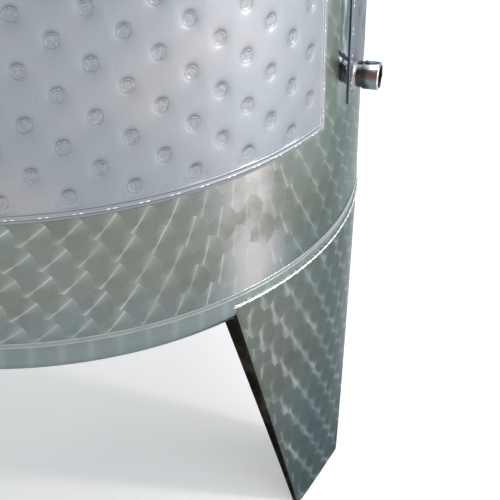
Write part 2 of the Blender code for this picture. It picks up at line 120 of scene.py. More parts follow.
class Graph:
    """The node tree of one material."""

    def __init__(self, name: str) -> None:
        """Starts an empty material.

        Args:
            name: the material's name.
        """
        self.material = bpy.data.materials.new(name)
        self.material.use_nodes = True
        self.tree = self.material.node_tree
        self.tree.nodes.clear()

    def node(self, kind: str, settings: dict | None = None, inputs: dict | None = None) -> bpy.types.Node:
        """Adds a node.

        Args:
            kind: the node's type.
            settings: attributes to set first; "stops" is a colour ramp's list of (place, colour).
            inputs: values or links of its sockets, by name or number.

        Returns:
            The node.
        """
        made = self.tree.nodes.new(kind)
        for key, setting in (settings or {}).items():
            if key == "stops":
                self._set_stops(made.color_ramp, setting)
            else:
                setattr(made, key, setting)
        for key, given in (inputs or {}).items():
            if isinstance(given, Value):
                given = given.socket
            if isinstance(given, bpy.types.NodeSocket):
                self.tree.links.new(given, made.inputs[key])
            else:
                made.inputs[key].default_value = given
        return made

    @staticmethod
    def _set_stops(ramp: bpy.types.ColorRamp, stops: list[tuple[float, Colour]]) -> None:
        """Puts the stops on a ramp that starts with two."""
        for index, (place, colour) in enumerate(stops):
            element = ramp.elements[index] if index < 2 else ramp.elements.new(place)
            element.position = place
            element.color = (*colour, 1.0)

    def math(self, operation: str, *values: Number) -> Value:
        """A Math node.

        Args:
            operation: the node's operation.
            values: its inputs in order.

        Returns:
            Its result.
        """
        made = self.node("ShaderNodeMath", {"operation": operation}, dict(enumerate(values)))
        return Value(self, made.outputs[0])

    def vector(self, operation: str, *values: object) -> bpy.types.NodeSocket:
        """A Vector Math node's vector result."""
        made = self.node("ShaderNodeVectorMath", {"operation": operation}, dict(enumerate(values)))
        return made.outputs[0]

    def scaled(self, vector: bpy.types.NodeSocket, factor: Number) -> bpy.types.NodeSocket:
        """A vector times a number."""
        made = self.node("ShaderNodeVectorMath", {"operation": "SCALE"}, {0: vector, "Scale": factor})
        return made.outputs[0]

    def combined(self, x: Number, y: Number, z: Number = 0.0) -> bpy.types.NodeSocket:
        """A vector from three numbers."""
        return self.node("ShaderNodeCombineXYZ", None, {0: x, 1: y, 2: z}).outputs[0]

    def parts(self, vector: bpy.types.NodeSocket) -> tuple[Value, Value, Value]:
        """The three numbers of a vector."""
        made = self.node("ShaderNodeSeparateXYZ", None, {0: vector})
        return tuple(Value(self, out) for out in made.outputs)

    def place(self) -> bpy.types.NodeSocket:
        """The Object coordinates."""
        return self.node("ShaderNodeTexCoord").outputs["Object"]

    def sheet(self) -> tuple[Value, Value]:
        """The piece's own sheet coordinates in metres, across and up."""
        made = self.node("ShaderNodeUVMap", {"uv_map": SHEET_UV})
        across, up, _ = self.parts(made.outputs[0])
        return across, up

    def noise(self, vector: bpy.types.NodeSocket, scale: float, detail: float = 2.0, rough: float = 0.5) -> Value:
        """Fractal noise from 0 to 1.

        Args:
            vector: where it is read.
            scale: features per metre.
            detail: octaves.
            rough: weight of the finer octaves.

        Returns:
            The noise.
        """
        inputs = {"Vector": vector, "Scale": scale, "Detail": detail, "Roughness": rough}
        return Value(self, self.node("ShaderNodeTexNoise", None, inputs).outputs[0])

    def white(self, vector: bpy.types.NodeSocket) -> bpy.types.Node:
        """White noise of a vector; outputs Value and Color."""
        return self.node("ShaderNodeTexWhiteNoise", {"noise_dimensions": "3D"}, {"Vector": vector})

    def ramp(self, value: Number, low: float, high: float, start: float = 0.0, end: float = 1.0) -> Value:
        """A smooth step from start at low to end at high.

        Args:
            value: what is mapped.
            low: where the step begins.
            high: where the step ends.
            start: the result up to low.
            end: the result from high on.

        Returns:
            The mapped number.
        """
        inputs = {"Value": value, "From Min": low, "From Max": high, "To Min": start, "To Max": end}
        made = self.node("ShaderNodeMapRange", {"interpolation_type": "SMOOTHSTEP"}, inputs)
        return Value(self, made.outputs[0])

    def mixed(self, factor: Number, first: object, second: object, blend: str = "MIX") -> bpy.types.NodeSocket:
        """A mix of two colours.

        Args:
            factor: share of the second.
            first: a colour or socket.
            second: a colour or socket.
            blend: the node's blend type.

        Returns:
            The colour socket.
        """
        settings = {"data_type": "RGBA", "blend_type": blend, "clamp_result": False}
        made = self.node("ShaderNodeMix", settings, {0: factor, 6: colour_of(first), 7: colour_of(second)})
        return made.outputs[2]

    def toned(self, colour: object, amount: Number) -> bpy.types.NodeSocket:
        """A colour made lighter or darker by a factor."""
        return self.scaled(vector_of(colour), amount)

    def bumped(self, height: Value, depth: float) -> bpy.types.NodeSocket:
        """A normal bumped by a height from 0 to 1 times a depth in metres."""
        made = self.node("ShaderNodeBump", None, {"Strength": 1.0, "Distance": depth, "Height": height})
        return made.outputs[0]

    def surface(self, inputs: dict) -> bpy.types.Material:
        """Closes the graph with one Principled shader.

        Args:
            inputs: its sockets' values or links.

        Returns:
            The material.
        """
        shader = self.node("ShaderNodeBsdfPrincipled", {"distribution": "MULTI_GGX"}, inputs)
        out = self.node("ShaderNodeOutputMaterial")
        self.tree.links.new(shader.outputs[0], out.inputs["Surface"])
        return self.material


def colour_of(given: object) -> object:
    """A colour of three numbers with its alpha, or the socket as it is."""
    return (*given, 1.0) if isinstance(given, tuple) and len(given) == 3 else given


def vector_of(given: object) -> object:
    """A colour of three numbers as a vector, or the socket as it is."""
    return tuple(given[:3]) if isinstance(given, tuple) else given


# --------------------------------------------------------------------------------------------------
# Finishes
# --------------------------------------------------------------------------------------------------


@dataclass(frozen=True)
class MarbledSteel:
    """Circle-polished sheet: overlapping discs of round scratches, the left ones on top.

    Round scratches reflect along a line through the disc's middle; here that line is a painted highlight in the base
    colour, with a wider painted sheen fanning round it. The line's lean turns with the sheet's direction, and stands
    upright where the sheet faces glint_azimuth. The base colour also holds painted shade towards the tank's right side
    and its bottom, a painted highlight wash and a painted pale patch of light round two azimuths, and painted
    reflection blotches on the polished strip.
    """

    name: str
    first_across: float
    first_up: float
    column_pitch: float = 0.0175
    disc_pitch: float = 0.057
    disc_radius: float = 0.022
    # glint_*: the painted highlight lines in the base colour and the painted sheen round them.
    glint_azimuth: float = 8.0
    glint_turn: float = 2.6
    glint_width: float = 0.0006
    glint_spread: float = 0.034
    glint_strength: float = 0.50
    colour: Colour = (0.162, 0.172, 0.150)
    cool_colour: Colour = (0.138, 0.170, 0.172)
    glint_colour: Colour = (0.50, 0.51, 0.49)
    roughness: float = 0.27
    # low_shade: from, to and factor of a painted shade towards the bottom, with a cooler painted tint; a factor over 1
    # paints it lighter.
    low_shade: tuple[float, float, float] = (0.38, 0.45, 1.06)
    # glare: centre azimuth, width and strength of a painted highlight wash in glare_colour.
    glare: tuple[float, float, float] = (10.2, 5.8, 0.80)
    glare_colour: Colour = (0.45, 0.43, 0.425)
    # pale: centre azimuth, width and strength of a painted pale patch of light low on the sheet.
    pale: tuple[float, float, float] = (24.0, 8.5, 0.42)
    polished_strip: tuple[float, float] | None = None
    strip_heights: tuple[float, float] = (0.505, 1.495)
    strip_colour: Colour = (0.33, 0.35, 0.36)
    # strip_dark and strip_light: painted reflection blotches on the polished strip.
    strip_dark: Colour = (0.15, 0.165, 0.175)
    strip_light: Colour = (0.62, 0.65, 0.68)

    def material(self) -> bpy.types.Material:
        """The finish on a piece that has sheet coordinates.

        Returns:
            The material.
        """
        graph = Graph(self.name)
        across, up = graph.sheet()
        side, rise, column, row = self._top_disc(graph, across, up)
        away = graph.math("SQRT", side * side + rise * rise)
        disc = graph.white(graph.combined(column, row, 3.7))
        tone, warmth, polish = graph.parts(disc.outputs["Color"])
        cloud = graph.noise(graph.place(), 11.0, 4.0, 0.6)
        scratch = graph.noise(graph.combined(away * 900.0, column * 7.3, row * 5.1), 1.0, 3.0, 0.7)
        # glint and fan are painted highlight: the line and the sheen round it go into the base colour.
        glint, fan = self._glint(graph, side, rise, away)
        edge = graph.ramp(away, self.disc_radius - 0.0020, self.disc_radius - 0.0002)
        level = 0.86 + fan * 0.32 + tone * 0.08 + (cloud - 0.5) * 0.55 + edge * 0.05 + (scratch - 0.5) * 0.14
        x, y, _ = graph.parts(graph.place())
        turn = graph.math("ARCTAN2", x, 0.0 - y) * math.degrees(1.0)
        # Painted shade: darker towards the tank's right side and, by low_shade, towards the bottom; then a painted pale
        # patch of light.
        side_shade = graph.ramp(turn, 33.0, 50.0) * graph.ramp(turn, 80.0, 150.0, 1.0, 0.0)
        low, high, low_tone = self.low_shade
        pale = graph.math("EXPONENT", 0.0 - ((turn - self.pale[0]) / self.pale[1]) ** 2) * self.pale[2]
        level = level * (1.0 - side_shade * 0.34) * graph.ramp(up, low, high, low_tone, 1.0)
        level = level + pale * graph.ramp(up, 0.40, 0.56)
        # Cooler colour partly at random, partly a painted shade tint towards the right side and the bottom.
        cold = warmth * 0.10 + cloud + side_shade * 0.35 + graph.ramp(up, low, high, 0.25, 0.0)
        hue = graph.mixed(graph.ramp(cold, 0.42, 0.95), self.colour, self.cool_colour)
        patch = graph.ramp(graph.noise(graph.place(), 30.0, 2.0), 0.30, 0.70, 0.25, 1.2)
        # The painted highlight line, mixed into the base colour.
        share = glint * self.glint_strength * (0.45 + scratch * 0.8) * (0.6 + polish * 0.6) * patch
        # A painted highlight wash round the glare azimuth.
        wash = graph.math("EXPONENT", 0.0 - ((turn - self.glare[0]) / self.glare[1]) ** 2) * self.glare[2]
        wash = wash * (0.30 + graph.ramp(cloud + tone * 0.16, 0.42, 0.72) * 0.75)
        hue = graph.mixed(wash, graph.toned(hue, level), self.glare_colour)
        colour = graph.mixed(graph.math("MINIMUM", share, 1.0), hue, self.glint_colour)
        roughness = self.roughness - glint * 0.04 + edge * 0.04 + (scratch - 0.5) * 0.10
        height = scratch * 0.6 + graph.math("SINE", away * 2600.0) * 0.1
        depth = 0.000012
        if self.polished_strip:
            strip = self._strip(graph, across, up)
            wave = graph.noise(graph.vector("MULTIPLY", graph.place(), (1.0, 1.0, 0.45)), 62.0, 2.0, 0.5)
            # Painted reflection blotches, dark and light, on the polished strip.
            blotch = graph.mixed(graph.ramp(wave, 0.40, 0.62), self.strip_dark, self.strip_light)
            calm = graph.ramp(up, self.strip_heights[0] + 0.045, self.strip_heights[0] + 0.11)
            mirror = graph.mixed(calm, self.strip_colour, blotch)
            colour = graph.mixed(strip * 0.92, colour, mirror)
            roughness = roughness + (0.07 - roughness) * strip
            height = height + (wave * 25.0 - height) * strip
        return graph.surface(
            {
                "Base Color": colour,
                "Metallic": 1.0,
                "Roughness": roughness,
                "Specular Tint": (0.45, 0.505, 0.51, 1.0),
                "Normal": graph.bumped(height, depth),
            }
        )

    def _top_disc(self, graph: Graph, across: Value, up: Value) -> tuple[Value, Value, Value, Value]:
        """The disc that shows at a point.

        Args:
            graph: the material's graph.
            across: sheet coordinate along the rows.
            up: sheet coordinate along the columns.

        Returns:
            The point's offsets from the disc's middle, and the disc's column and row.
        """
        start = across - (self.first_across + self.disc_radius)
        leftmost = graph.math("CEIL", start / self.column_pitch)
        chosen: tuple[Value, ...] | None = None
        for step in (2, 1, 0):
            column = leftmost + step
            side = across - self.first_across - column * self.column_pitch
            shift = graph.math("FLOORED_MODULO", column, 2.0) * (self.disc_pitch / 2)
            height = up - self.first_up - shift
            row = graph.math("ROUND", height / self.disc_pitch)
            rise = height - row * self.disc_pitch
            found = (side, rise, column, row)
            if chosen is None:
                chosen = found
                continue
            inside = (side * side + rise * rise) < self.disc_radius**2
            chosen = tuple(old + (new - old) * inside for old, new in zip(chosen, found))
        return chosen

    def _glint(self, graph: Graph, side: Value, rise: Value, away: Value) -> tuple[Value, Value]:
        """The painted highlight line through a disc's middle.

        Args:
            graph: the material's graph.
            side: offset from the disc's middle across the sheet.
            rise: offset from the disc's middle up the sheet.
            away: distance from the disc's middle.

        Returns:
            The narrow painted highlight line and the wide painted sheen round it, each from 0 to 1.
        """
        normal = graph.node("ShaderNodeNewGeometry").outputs["Normal"]
        facing_x, facing_y, _ = graph.parts(normal)
        turn = math.radians(self.glint_azimuth)
        lean = (facing_x * math.cos(turn) + facing_y * math.sin(turn)) * -self.glint_turn
        length = graph.math("SQRT", lean * lean + 1.0)
        off = (side - rise * lean) / length
        x, y, _ = graph.parts(graph.place())
        facing_out = (facing_x * x + facing_y * y) / graph.math("SQRT", x * x + y * y)
        width = self.glint_width + away * self.glint_spread
        glint = graph.math("EXPONENT", 0.0 - (off / width) ** 2) * graph.ramp(facing_out, 0.86, 0.95)
        reach = graph.math("MAXIMUM", away, 0.001)
        angle = off / reach
        fan = graph.math("EXPONENT", angle * angle * -5.0)
        return glint, fan

    def _strip(self, graph: Graph, across: Value, up: Value) -> Value:
        """The share of the mirror-like strip that was polished beside the jacket's end."""
        start, end = self.polished_strip
        low, high = self.strip_heights
        level = graph.ramp(across, start - 0.004, start + 0.006) * graph.ramp(across, end, end + 0.004, 1.0, 0.0)
        return level * graph.ramp(up, low, low + 0.06) * graph.ramp(up, high - 0.02, high, 1.0, 0.0)


@dataclass(frozen=True)
class JacketSteel:
    """Matt rolled sheet, a little cloudy, with a speckled line at each ring weld and a ring of painted shade just
    outside it.

    Where its pillows face down the colour is darker, a painted shade that stands for the dark floor and darkens the
    upper side of each hollow; where they face up it is lighter, a painted highlight. The sheet is also darker towards
    its bottom, and darker and bluer beside the polished strip, both painted shade.
    """

    name: str = "jacket_steel"
    colour: Colour = (0.288, 0.316, 0.342)
    warm_colour: Colour = (0.345, 0.340, 0.352)
    # blue_colour: the painted shade colour beside the polished strip.
    blue_colour: Colour = (0.140, 0.165, 0.188)
    roughness: float = 0.46
    right_edge: float = 27.1
    first_column: float = 22.3
    column_angle: float = 4.49
    first_row: float = 0.5423
    row_pitch: float = 0.0511
    spot: float = 0.0058
    radius: float = 0.400

    def material(self) -> bpy.types.Material:
        """The finish, on Object coordinates.

        Returns:
            The material.
        """
        graph = Graph(self.name)
        place = graph.place()
        x, y, z = graph.parts(place)
        turn = graph.math("ARCTAN2", x, 0.0 - y) * math.degrees(1.0)
        cloud = graph.noise(place, 5.0, 3.0, 0.6)
        grain = graph.noise(graph.vector("MULTIPLY", place, (1.0, 1.0, 0.18)), 420.0, 2.0)
        fine = graph.noise(place, 900.0, 1.0)
        mottle = graph.noise(graph.vector("MULTIPLY", place, (1.0, 1.0, 0.5)), 520.0, 2.0, 0.6)
        away = self._from_spot(graph, turn, z)
        framed = (z > self.first_row - 0.012) * (z < 1.474)
        away = away + (graph.noise(place, 230.0, 1.0) - 0.5) * 0.0042
        ring = graph.math("EXPONENT", 0.0 - ((away - self.spot) / 0.0007) ** 2) * framed
        # A ring of painted shade just outside each weld ring.
        painted_ring_shade = graph.math("EXPONENT", 0.0 - ((away - self.spot - 0.0010) / 0.0009) ** 2) * framed
        inside = graph.ramp(away, self.spot - 0.0010, self.spot - 0.0004, 1.0, 0.0) * framed
        facing_up = graph.parts(graph.node("ShaderNodeNewGeometry").outputs["Normal"])[2]
        # Painted shade where the sheet faces down.
        down = graph.ramp(facing_up, -0.03, -0.30)
        # Painted shade: darker and bluer from azimuth 28 towards the polished strip.
        shade = graph.ramp(turn, 28.0, 42.0) * graph.ramp(turn, 80.0, 150.0, 1.0, 0.0)
        hue = graph.mixed(graph.ramp(cloud, 0.35, 0.7), self.colour, self.warm_colour)
        hue = graph.mixed(shade, hue, self.blue_colour)
        level = 0.97 + (cloud - 0.5) * 0.20 + (grain - 0.5) * 0.08
        # Painted shade towards the bottom of the jacket, where it faces down and outside each weld ring.
        level = level * graph.ramp(z, 0.50, 0.72, 0.87, 1.0) * (1.0 - down * 0.60) * (1.0 - painted_ring_shade * 0.20)
        level = level + inside * (mottle - 0.62) * 0.60 + ring * graph.ramp(mottle, 0.52, 0.74) * 0.55
        # Painted highlight where the sheet faces up.
        level = level + graph.ramp(facing_up, 0.04, 0.30) * 0.14
        return graph.surface(
            {
                "Base Color": graph.toned(hue, level),
                "Metallic": 1.0,
                "Roughness": self.roughness + (cloud - 0.5) * 0.10 + (fine - 0.5) * 0.06 - ring * 0.12,
                "Specular Tint": (0.8, 0.82, 0.84, 1.0),
                "Normal": graph.bumped(grain * 0.7 + fine * 0.3 + inside * mottle * 6.0, 0.00002),
            }
        )

    def _from_spot(self, graph: Graph, turn: Value, height: Value) -> Value:
        """Distance from the nearest weld spot's middle.

        Args:
            graph: the material's graph.
            turn: azimuth in degrees.
            height: height over the floor.

        Returns:
            The distance.
        """
        back = turn - (turn > self.right_edge) * 360.0
        column = graph.math("ROUND", (self.first_column - back) / self.column_angle)
        across = (self.first_column - column * self.column_angle - back) * (math.radians(1.0) * self.radius)
        odd = graph.math("FLOORED_MODULO", column, 2.0)
        over = height - self.first_row - (1.0 - odd) * (self.row_pitch / 2)
        rise = over - graph.math("ROUND", over / self.row_pitch) * self.row_pitch
        return graph.math("SQRT", across * across + rise * rise)


class Grain(Enum):
    """Which way the polishing lines run on plain steel."""

    ROUND = "round the tank's axis"
    UPRIGHT = "up the sheet"


@dataclass(frozen=True)
class SatinSteel:
    """Plain sheet polished with a belt or a wheel."""

    name: str
    grain: Grain
    colour: Colour = (0.165, 0.195, 0.195)
    roughness: float = 0.28
    stroke_depth: float = 0.00001

    def material(self) -> bpy.types.Material:
        """The finish, on Object coordinates.

        Returns:
            The material.
        """
        graph = Graph(self.name)
        place = graph.place()
        x, y, z = graph.parts(place)
        turn = graph.math("ARCTAN2", x, 0.0 - y)
        radius = graph.math("SQRT", x * x + y * y)
        if self.grain is Grain.ROUND:
            strokes = graph.combined(radius * 900.0, turn * 3.0, z * 900.0)
            broad = graph.combined(radius * 60.0, turn * 1.0, z * 60.0)
        else:
            strokes = graph.combined(turn * 420.0, z * 14.0, radius * 14.0)
            broad = graph.combined(turn * 14.0, z * 5.0, radius * 5.0)
        line = graph.noise(strokes, 1.0, 3.0, 0.6)
        band = graph.noise(broad, 1.0, 2.0, 0.5)
        cloud = graph.noise(place, 8.0, 3.0, 0.6)
        around = turn * (radius / 0.030)
        off = (around - graph.math("ROUND", around)) / 0.13
        mark = graph.math("EXPONENT", 0.0 - off * off) * graph.ramp(radius, 0.372, 0.388)
        level = 0.95 + (line - 0.5) * 0.18 + (band - 0.5) * 0.30 + (cloud - 0.5) * 0.20 + mark * cloud * 0.32
        return graph.surface(
            {
                "Base Color": graph.toned(self.colour, level),
                "Metallic": 1.0,
                "Roughness": self.roughness + (line - 0.5) * 0.10 + (cloud - 0.5) * 0.10,
                "Specular Tint": (0.72, 0.78, 0.80, 1.0),
                "Normal": graph.bumped(line, self.stroke_depth),
            }
        )


@dataclass(frozen=True)
class WeldSteel:
    """A weld bead, with small ripples and a faint heat tint."""

    name: str = "weld_steel"
    colour: Colour = (0.72, 0.74, 0.75)
    tint: Colour = (0.62, 0.58, 0.50)
    roughness: float = 0.30

    def material(self) -> bpy.types.Material:
        """The finish, on Object coordinates.

        Returns:
            The material.
        """
        graph = Graph(self.name)
        place = graph.place()
        ripple = graph.noise(place, 700.0, 2.0, 0.6)
        cloud = graph.noise(place, 60.0, 2.0)
        hue = graph.mixed(graph.ramp(cloud, 0.5, 0.8), self.colour, self.tint)
        return graph.surface(
            {
                "Base Color": graph.toned(hue, 0.9 + ripple * 0.2),
                "Metallic": 1.0,
                "Roughness": self.roughness + (ripple - 0.5) * 0.2,
                "Normal": graph.bumped(ripple, 0.00012),
            }
        )


@dataclass(frozen=True)
class PolishedSteel:
    """Turned and polished steel with faint wiping marks."""

    name: str = "polished_steel"
    colour: Colour = (0.60, 0.63, 0.66)
    roughness: float = 0.11

    def material(self) -> bpy.types.Material:
        """The finish, on Object coordinates.

        Returns:
            The material.
        """
        graph = Graph(self.name)
        place = graph.place()
        haze = graph.noise(place, 45.0, 3.0, 0.6)
        hairline = graph.noise(graph.vector("MULTIPLY", place, (1.0, 1.0, 9.0)), 160.0, 2.0)
        return graph.surface(
            {
                "Base Color": graph.toned(self.colour, 0.94 + haze * 0.12),
                "Metallic": 1.0,
                "Roughness": self.roughness + haze * 0.05 + hairline * 0.03,
                "Normal": graph.bumped(hairline, 0.00002),
            }
        )


@dataclass(frozen=True)
class TurnedSteel:
    """Bright turned pipe; its colour is painted reflection, banded along its length from its top to its underside."""

    name: str = "turned_steel"
    roughness: float = 0.27
    # Painted reflection: a dark blue top edge, a white painted highlight just below, brownish dark sides and a dark
    # teal underside.
    bands: tuple[tuple[float, Colour], ...] = (
        (0.10, (0.13, 0.17, 0.18)),
        (0.47, (0.13, 0.16, 0.17)),
        (0.54, (0.17, 0.13, 0.12)),
        (0.80, (0.14, 0.11, 0.10)),
        (0.85, (0.20, 0.16, 0.15)),
        (0.872, (0.72, 0.73, 0.75)),
        (0.895, (0.28, 0.32, 0.36)),
        (0.912, (1.00, 1.00, 1.00)),
        (0.952, (1.00, 1.00, 1.00)),
        (0.967, (0.07, 0.13, 0.19)),
        (0.984, (0.08, 0.14, 0.20)),
        (0.994, (0.32, 0.40, 0.43)),
    )

    def material(self) -> bpy.types.Material:
        """The finish: painted reflection by how far the surface faces up.

        Returns:
            The material.
        """
        graph = Graph(self.name)
        place = graph.place()
        haze = graph.noise(place, 90.0, 3.0, 0.6)
        facing_up = graph.parts(graph.node("ShaderNodeNewGeometry").outputs["Normal"])[2]
        level = facing_up * 0.5 + 0.5 + (haze - 0.5) * 0.02
        band = graph.node("ShaderNodeValToRGB", {"stops": list(self.bands)}, {0: level}).outputs[0]
        return graph.surface(
            {
                "Base Color": graph.toned(band, 0.9 + haze * 0.2),
                "Metallic": 1.0,
                "Roughness": self.roughness + (haze - 0.5) * 0.08,
                "Normal": graph.bumped(haze, 0.00002),
            }
        )


@dataclass(frozen=True)
class ShadeBlackSteel:
    """Brown-black mottled steel that is painted shade, on the legs' flanges, backs and cut edges and in the sockets'
    bores.
    """

    name: str = "painted_shade_steel"
    colour: Colour = (0.022, 0.020, 0.017)
    light_colour: Colour = (0.070, 0.064, 0.054)
    roughness: float = 0.40

    def material(self) -> bpy.types.Material:
        """The finish, on Object coordinates.

        Returns:
            The material.
        """
        graph = Graph(self.name)
        place = graph.place()
        patch = graph.noise(place, 28.0, 3.0, 0.6)
        fine = graph.noise(place, 260.0, 2.0)
        hue = graph.mixed(graph.ramp(patch, 0.45, 0.8), self.colour, self.light_colour)
        return graph.surface(
            {
                "Base Color": graph.toned(hue, 0.85 + fine * 0.3),
                "Metallic": 1.0,
                "Roughness": self.roughness + (patch - 0.5) * 0.2,
                "Specular Tint": (0.25, 0.25, 0.24, 1.0),
                "Normal": graph.bumped(fine, 0.00005),
            }
        )


@dataclass(frozen=True)
class SoftMaterial:
    """Rubber or moulded plastic: a dull coat with fine grain and dust."""

    name: str
    colour: Colour
    worn_colour: Colour
    roughness: float
    grain_depth: float

    def material(self) -> bpy.types.Material:
        """The finish, on Object coordinates.

        Returns:
            The material.
        """
        graph = Graph(self.name)
        place = graph.place()
        grain = graph.noise(place, 1400.0, 2.0)
        dust = graph.noise(place, 35.0, 3.0, 0.6)
        hue = graph.mixed(graph.ramp(dust, 0.5, 0.85), self.colour, self.worn_colour)
        return graph.surface(
            {
                "Base Color": graph.toned(hue, 0.95 + grain * 0.1),
                "Roughness": self.roughness + (dust - 0.5) * 0.15,
                "Normal": graph.bumped(grain, self.grain_depth),
            }
        )


# --------------------------------------------------------------------------------------------------
# Shapes
# --------------------------------------------------------------------------------------------------


def azimuth_point(azimuth: float, radius: float, height: float) -> Vector:
    """The point at an azimuth in degrees, a radius and a height."""
    angle = math.radians(azimuth)
    return Vector((radius * math.sin(angle), -radius * math.cos(angle), height))


def turned_about(azimuth: float) -> Matrix:
    """The turn about Z that brings the -Y side to an azimuth in degrees."""
    return Matrix.Rotation(math.radians(azimuth), 4, "Z")


def standing_out(azimuth: float, radius: float, height: float) -> Matrix:
    """Brings a shape that is turned about Z to a point round the tank, its +Z pointing away."""
    angle = math.radians(azimuth)
    outward = Vector((math.sin(angle), -math.cos(angle), 0.0))
    turn = outward.to_track_quat("Z", "Y").to_matrix().to_4x4()
    return Matrix.Translation(outward * radius + Vector((0.0, 0.0, height))) @ turn


def arc(centre: tuple[float, float], radius: float, start: float, end: float, steps: int) -> Profile:
    """Points on an arc.

    Args:
        centre: its middle.
        radius: its radius.
        start: first angle in degrees from the first axis.
        end: last angle in degrees.
        steps: number of steps.

    Returns:
        steps + 1 points.
    """
    angles = [math.radians(start + (end - start) * i / steps) for i in range(steps + 1)]
    return [(centre[0] + radius * math.cos(a), centre[1] + radius * math.sin(a)) for a in angles]


def spun(profile: Profile, segments: int, closed: bool = True, turn: float = 360.0) -> bmesh.types.BMesh:
    """A solid of revolution about Z.

    Args:
        profile: points (radius, height) of its outline.
        segments: steps round the turn.
        closed: whether the last point joins the first; if not, it starts and ends on the axis.
        turn: degrees turned; less than a full turn leaves ends, which are capped.

    Returns:
        The closed shape, normals out.
    """
    shape = bmesh.new()
    corners = [shape.verts.new((radius, 0.0, height)) for radius, height in profile]
    pairs = list(zip(corners, corners[1:])) + ([(corners[-1], corners[0])] if closed else [])
    lines = [shape.edges.new(pair) for pair in pairs]
    geometry: list = corners + lines
    full = turn == 360.0
    if not full:
        first_cap = shape.faces.new(corners)
        moving = bmesh.ops.duplicate(shape, geom=[first_cap] + lines + corners)["geom"]
        geometry = moving
    bmesh.ops.spin(
        shape,
        geom=geometry,
        cent=(0.0, 0.0, 0.0),
        axis=(0.0, 0.0, 1.0),
        angle=math.radians(turn),
        steps=segments,
        use_merge=full,
    )
    bmesh.ops.remove_doubles(shape, verts=shape.verts, dist=MERGE)
    bmesh.ops.recalc_face_normals(shape, faces=shape.faces)
    return shape


def rounded(profile: Profile, radius: float, steps: int = 2) -> Profile:
    """A closed outline with every corner cut to a small arc.

    Args:
        profile: its corners in order.
        radius: how far along each side an arc starts.
        steps: pieces of each arc.

    Returns:
        The new outline.
    """
    made: Profile = []
    count = len(profile)
    for index, corner in enumerate(profile):
        middle = Vector(corner)
        before = Vector(profile[index - 1]) - middle
        after = Vector(profile[(index + 1) % count]) - middle
        reach = min(radius, before.length * 0.45, after.length * 0.45)
        start = middle + before.normalized() * reach
        end = middle + after.normalized() * reach
        for step in range(steps + 1):
            share = step / steps
            point = start.lerp(middle, share).lerp(middle.lerp(end, share), share)
            made.append((point.x, point.y))
    return made


def lay_sheet_uv(shape: bmesh.types.BMesh, where: Callable[[Vector], tuple[float, float]], wrap: float) -> None:
    """Writes the sheet coordinates of every face corner.

    Args:
        shape: the mesh.
        where: gives (across, up) in metres for a point.
        wrap: length after which across repeats, or 0 where it doesn't.
    """
    layer = shape.loops.layers.uv.new(SHEET_UV)
    for face in shape.faces:
        middle = where(face.calc_center_median())[0]
        for loop in face.loops:
            across, up = where(loop.vert.co)
            if wrap:
                across += wrap * round((middle - across) / wrap)
            loop[layer].uv = (across, up)


def around(radius: float) -> Callable[[Vector], tuple[float, float]]:
    """Sheet coordinates on a cylinder of that radius: the arc from azimuth 0, and the height."""

    def where(point: Vector) -> tuple[float, float]:
        """(arc length, height) of a point."""
        return radius * math.atan2(point.x, -point.y), point.z

    return where


def swept(path: list[Vector], radii: Iterable[float], sides: int, closed: bool = False) -> bmesh.types.BMesh:
    """A round bead or rod along a path.

    Args:
        path: its centre line.
        radii: its radius at each point.
        sides: sides of its section.
        closed: whether it joins its own start.

    Returns:
        The shape, with capped ends unless it is closed.
    """
    curve = bpy.data.curves.new("path", "CURVE")
    curve.dimensions = "3D"
    curve.bevel_depth = 1.0
    curve.bevel_resolution = max(sides // 2 - 2, 0)
    curve.use_fill_caps = not closed
    curve.twist_mode = "MINIMUM"
    spline = curve.splines.new("POLY")
    spline.points.add(len(path) - 1)
    for point, co, radius in zip(spline.points, path, radii):
        point.co = (*co, 1.0)
        point.radius = radius
    spline.use_cyclic_u = closed
    holder = bpy.data.objects.new("path", curve)
    bpy.context.scene.collection.objects.link(holder)
    mesh = bpy.data.meshes.new_from_object(holder.evaluated_get(bpy.context.evaluated_depsgraph_get()))
    shape = bmesh.new()
    shape.from_mesh(mesh)
    bpy.data.objects.remove(holder)
    bpy.data.curves.remove(curve)
    bpy.data.meshes.remove(mesh)
    bmesh.ops.remove_doubles(shape, verts=shape.verts, dist=MERGE)
    bmesh.ops.recalc_face_normals(shape, faces=shape.faces)
    return shape


def joined(shapes: list[bmesh.types.BMesh]) -> bmesh.types.BMesh:
    """One shape of several, which are freed."""
    whole = bmesh.new()
    for shape in shapes:
        holder = bpy.data.meshes.new("part")
        shape.to_mesh(holder)
        shape.free()
        whole.from_mesh(holder)
        bpy.data.meshes.remove(holder)
    return whole


def placed(shape: bmesh.types.BMesh, matrix: Matrix) -> bmesh.types.BMesh:
    """The shape, moved by a matrix."""
    bmesh.ops.transform(shape, matrix=matrix, verts=shape.verts)
    return shape


def lumpy(shape: bmesh.types.BMesh, size: float, step: float, seed: float) -> bmesh.types.BMesh:
    """Moves the points of a bead in and out a little.

    Args:
        shape: the bead.
        size: how far a point may move.
        step: length of a lump.
        seed: shifts the lumps.

    Returns:
        The same shape.
    """
    shape.normal_update()
    for vert in shape.verts:
        spot = vert.co / step
        wave = math.sin(spot.x * 2.1 + seed) + math.sin(spot.y * 2.7 + seed * 1.7) + math.sin(spot.z * 2.3 + seed * 0.6)
        vert.co += vert.normal * size * wave / 3.0
    return shape


def thickened(shape: bmesh.types.BMesh, back: float) -> bmesh.types.BMesh:
    """Closes an open sheet that lies over the XY plane with a back at one height.

    Args:
        shape: the sheet.
        back: height of its back.

    Returns:
        The same shape, normals out.
    """
    front = set(shape.verts)
    grown = bmesh.ops.extrude_face_region(shape, geom=shape.faces[:], use_keep_orig=True)["geom"]
    for item in grown:
        if isinstance(item, bmesh.types.BMVert) and item not in front:
            item.co.z = back
    bmesh.ops.recalc_face_normals(shape, faces=shape.faces)
    return shape


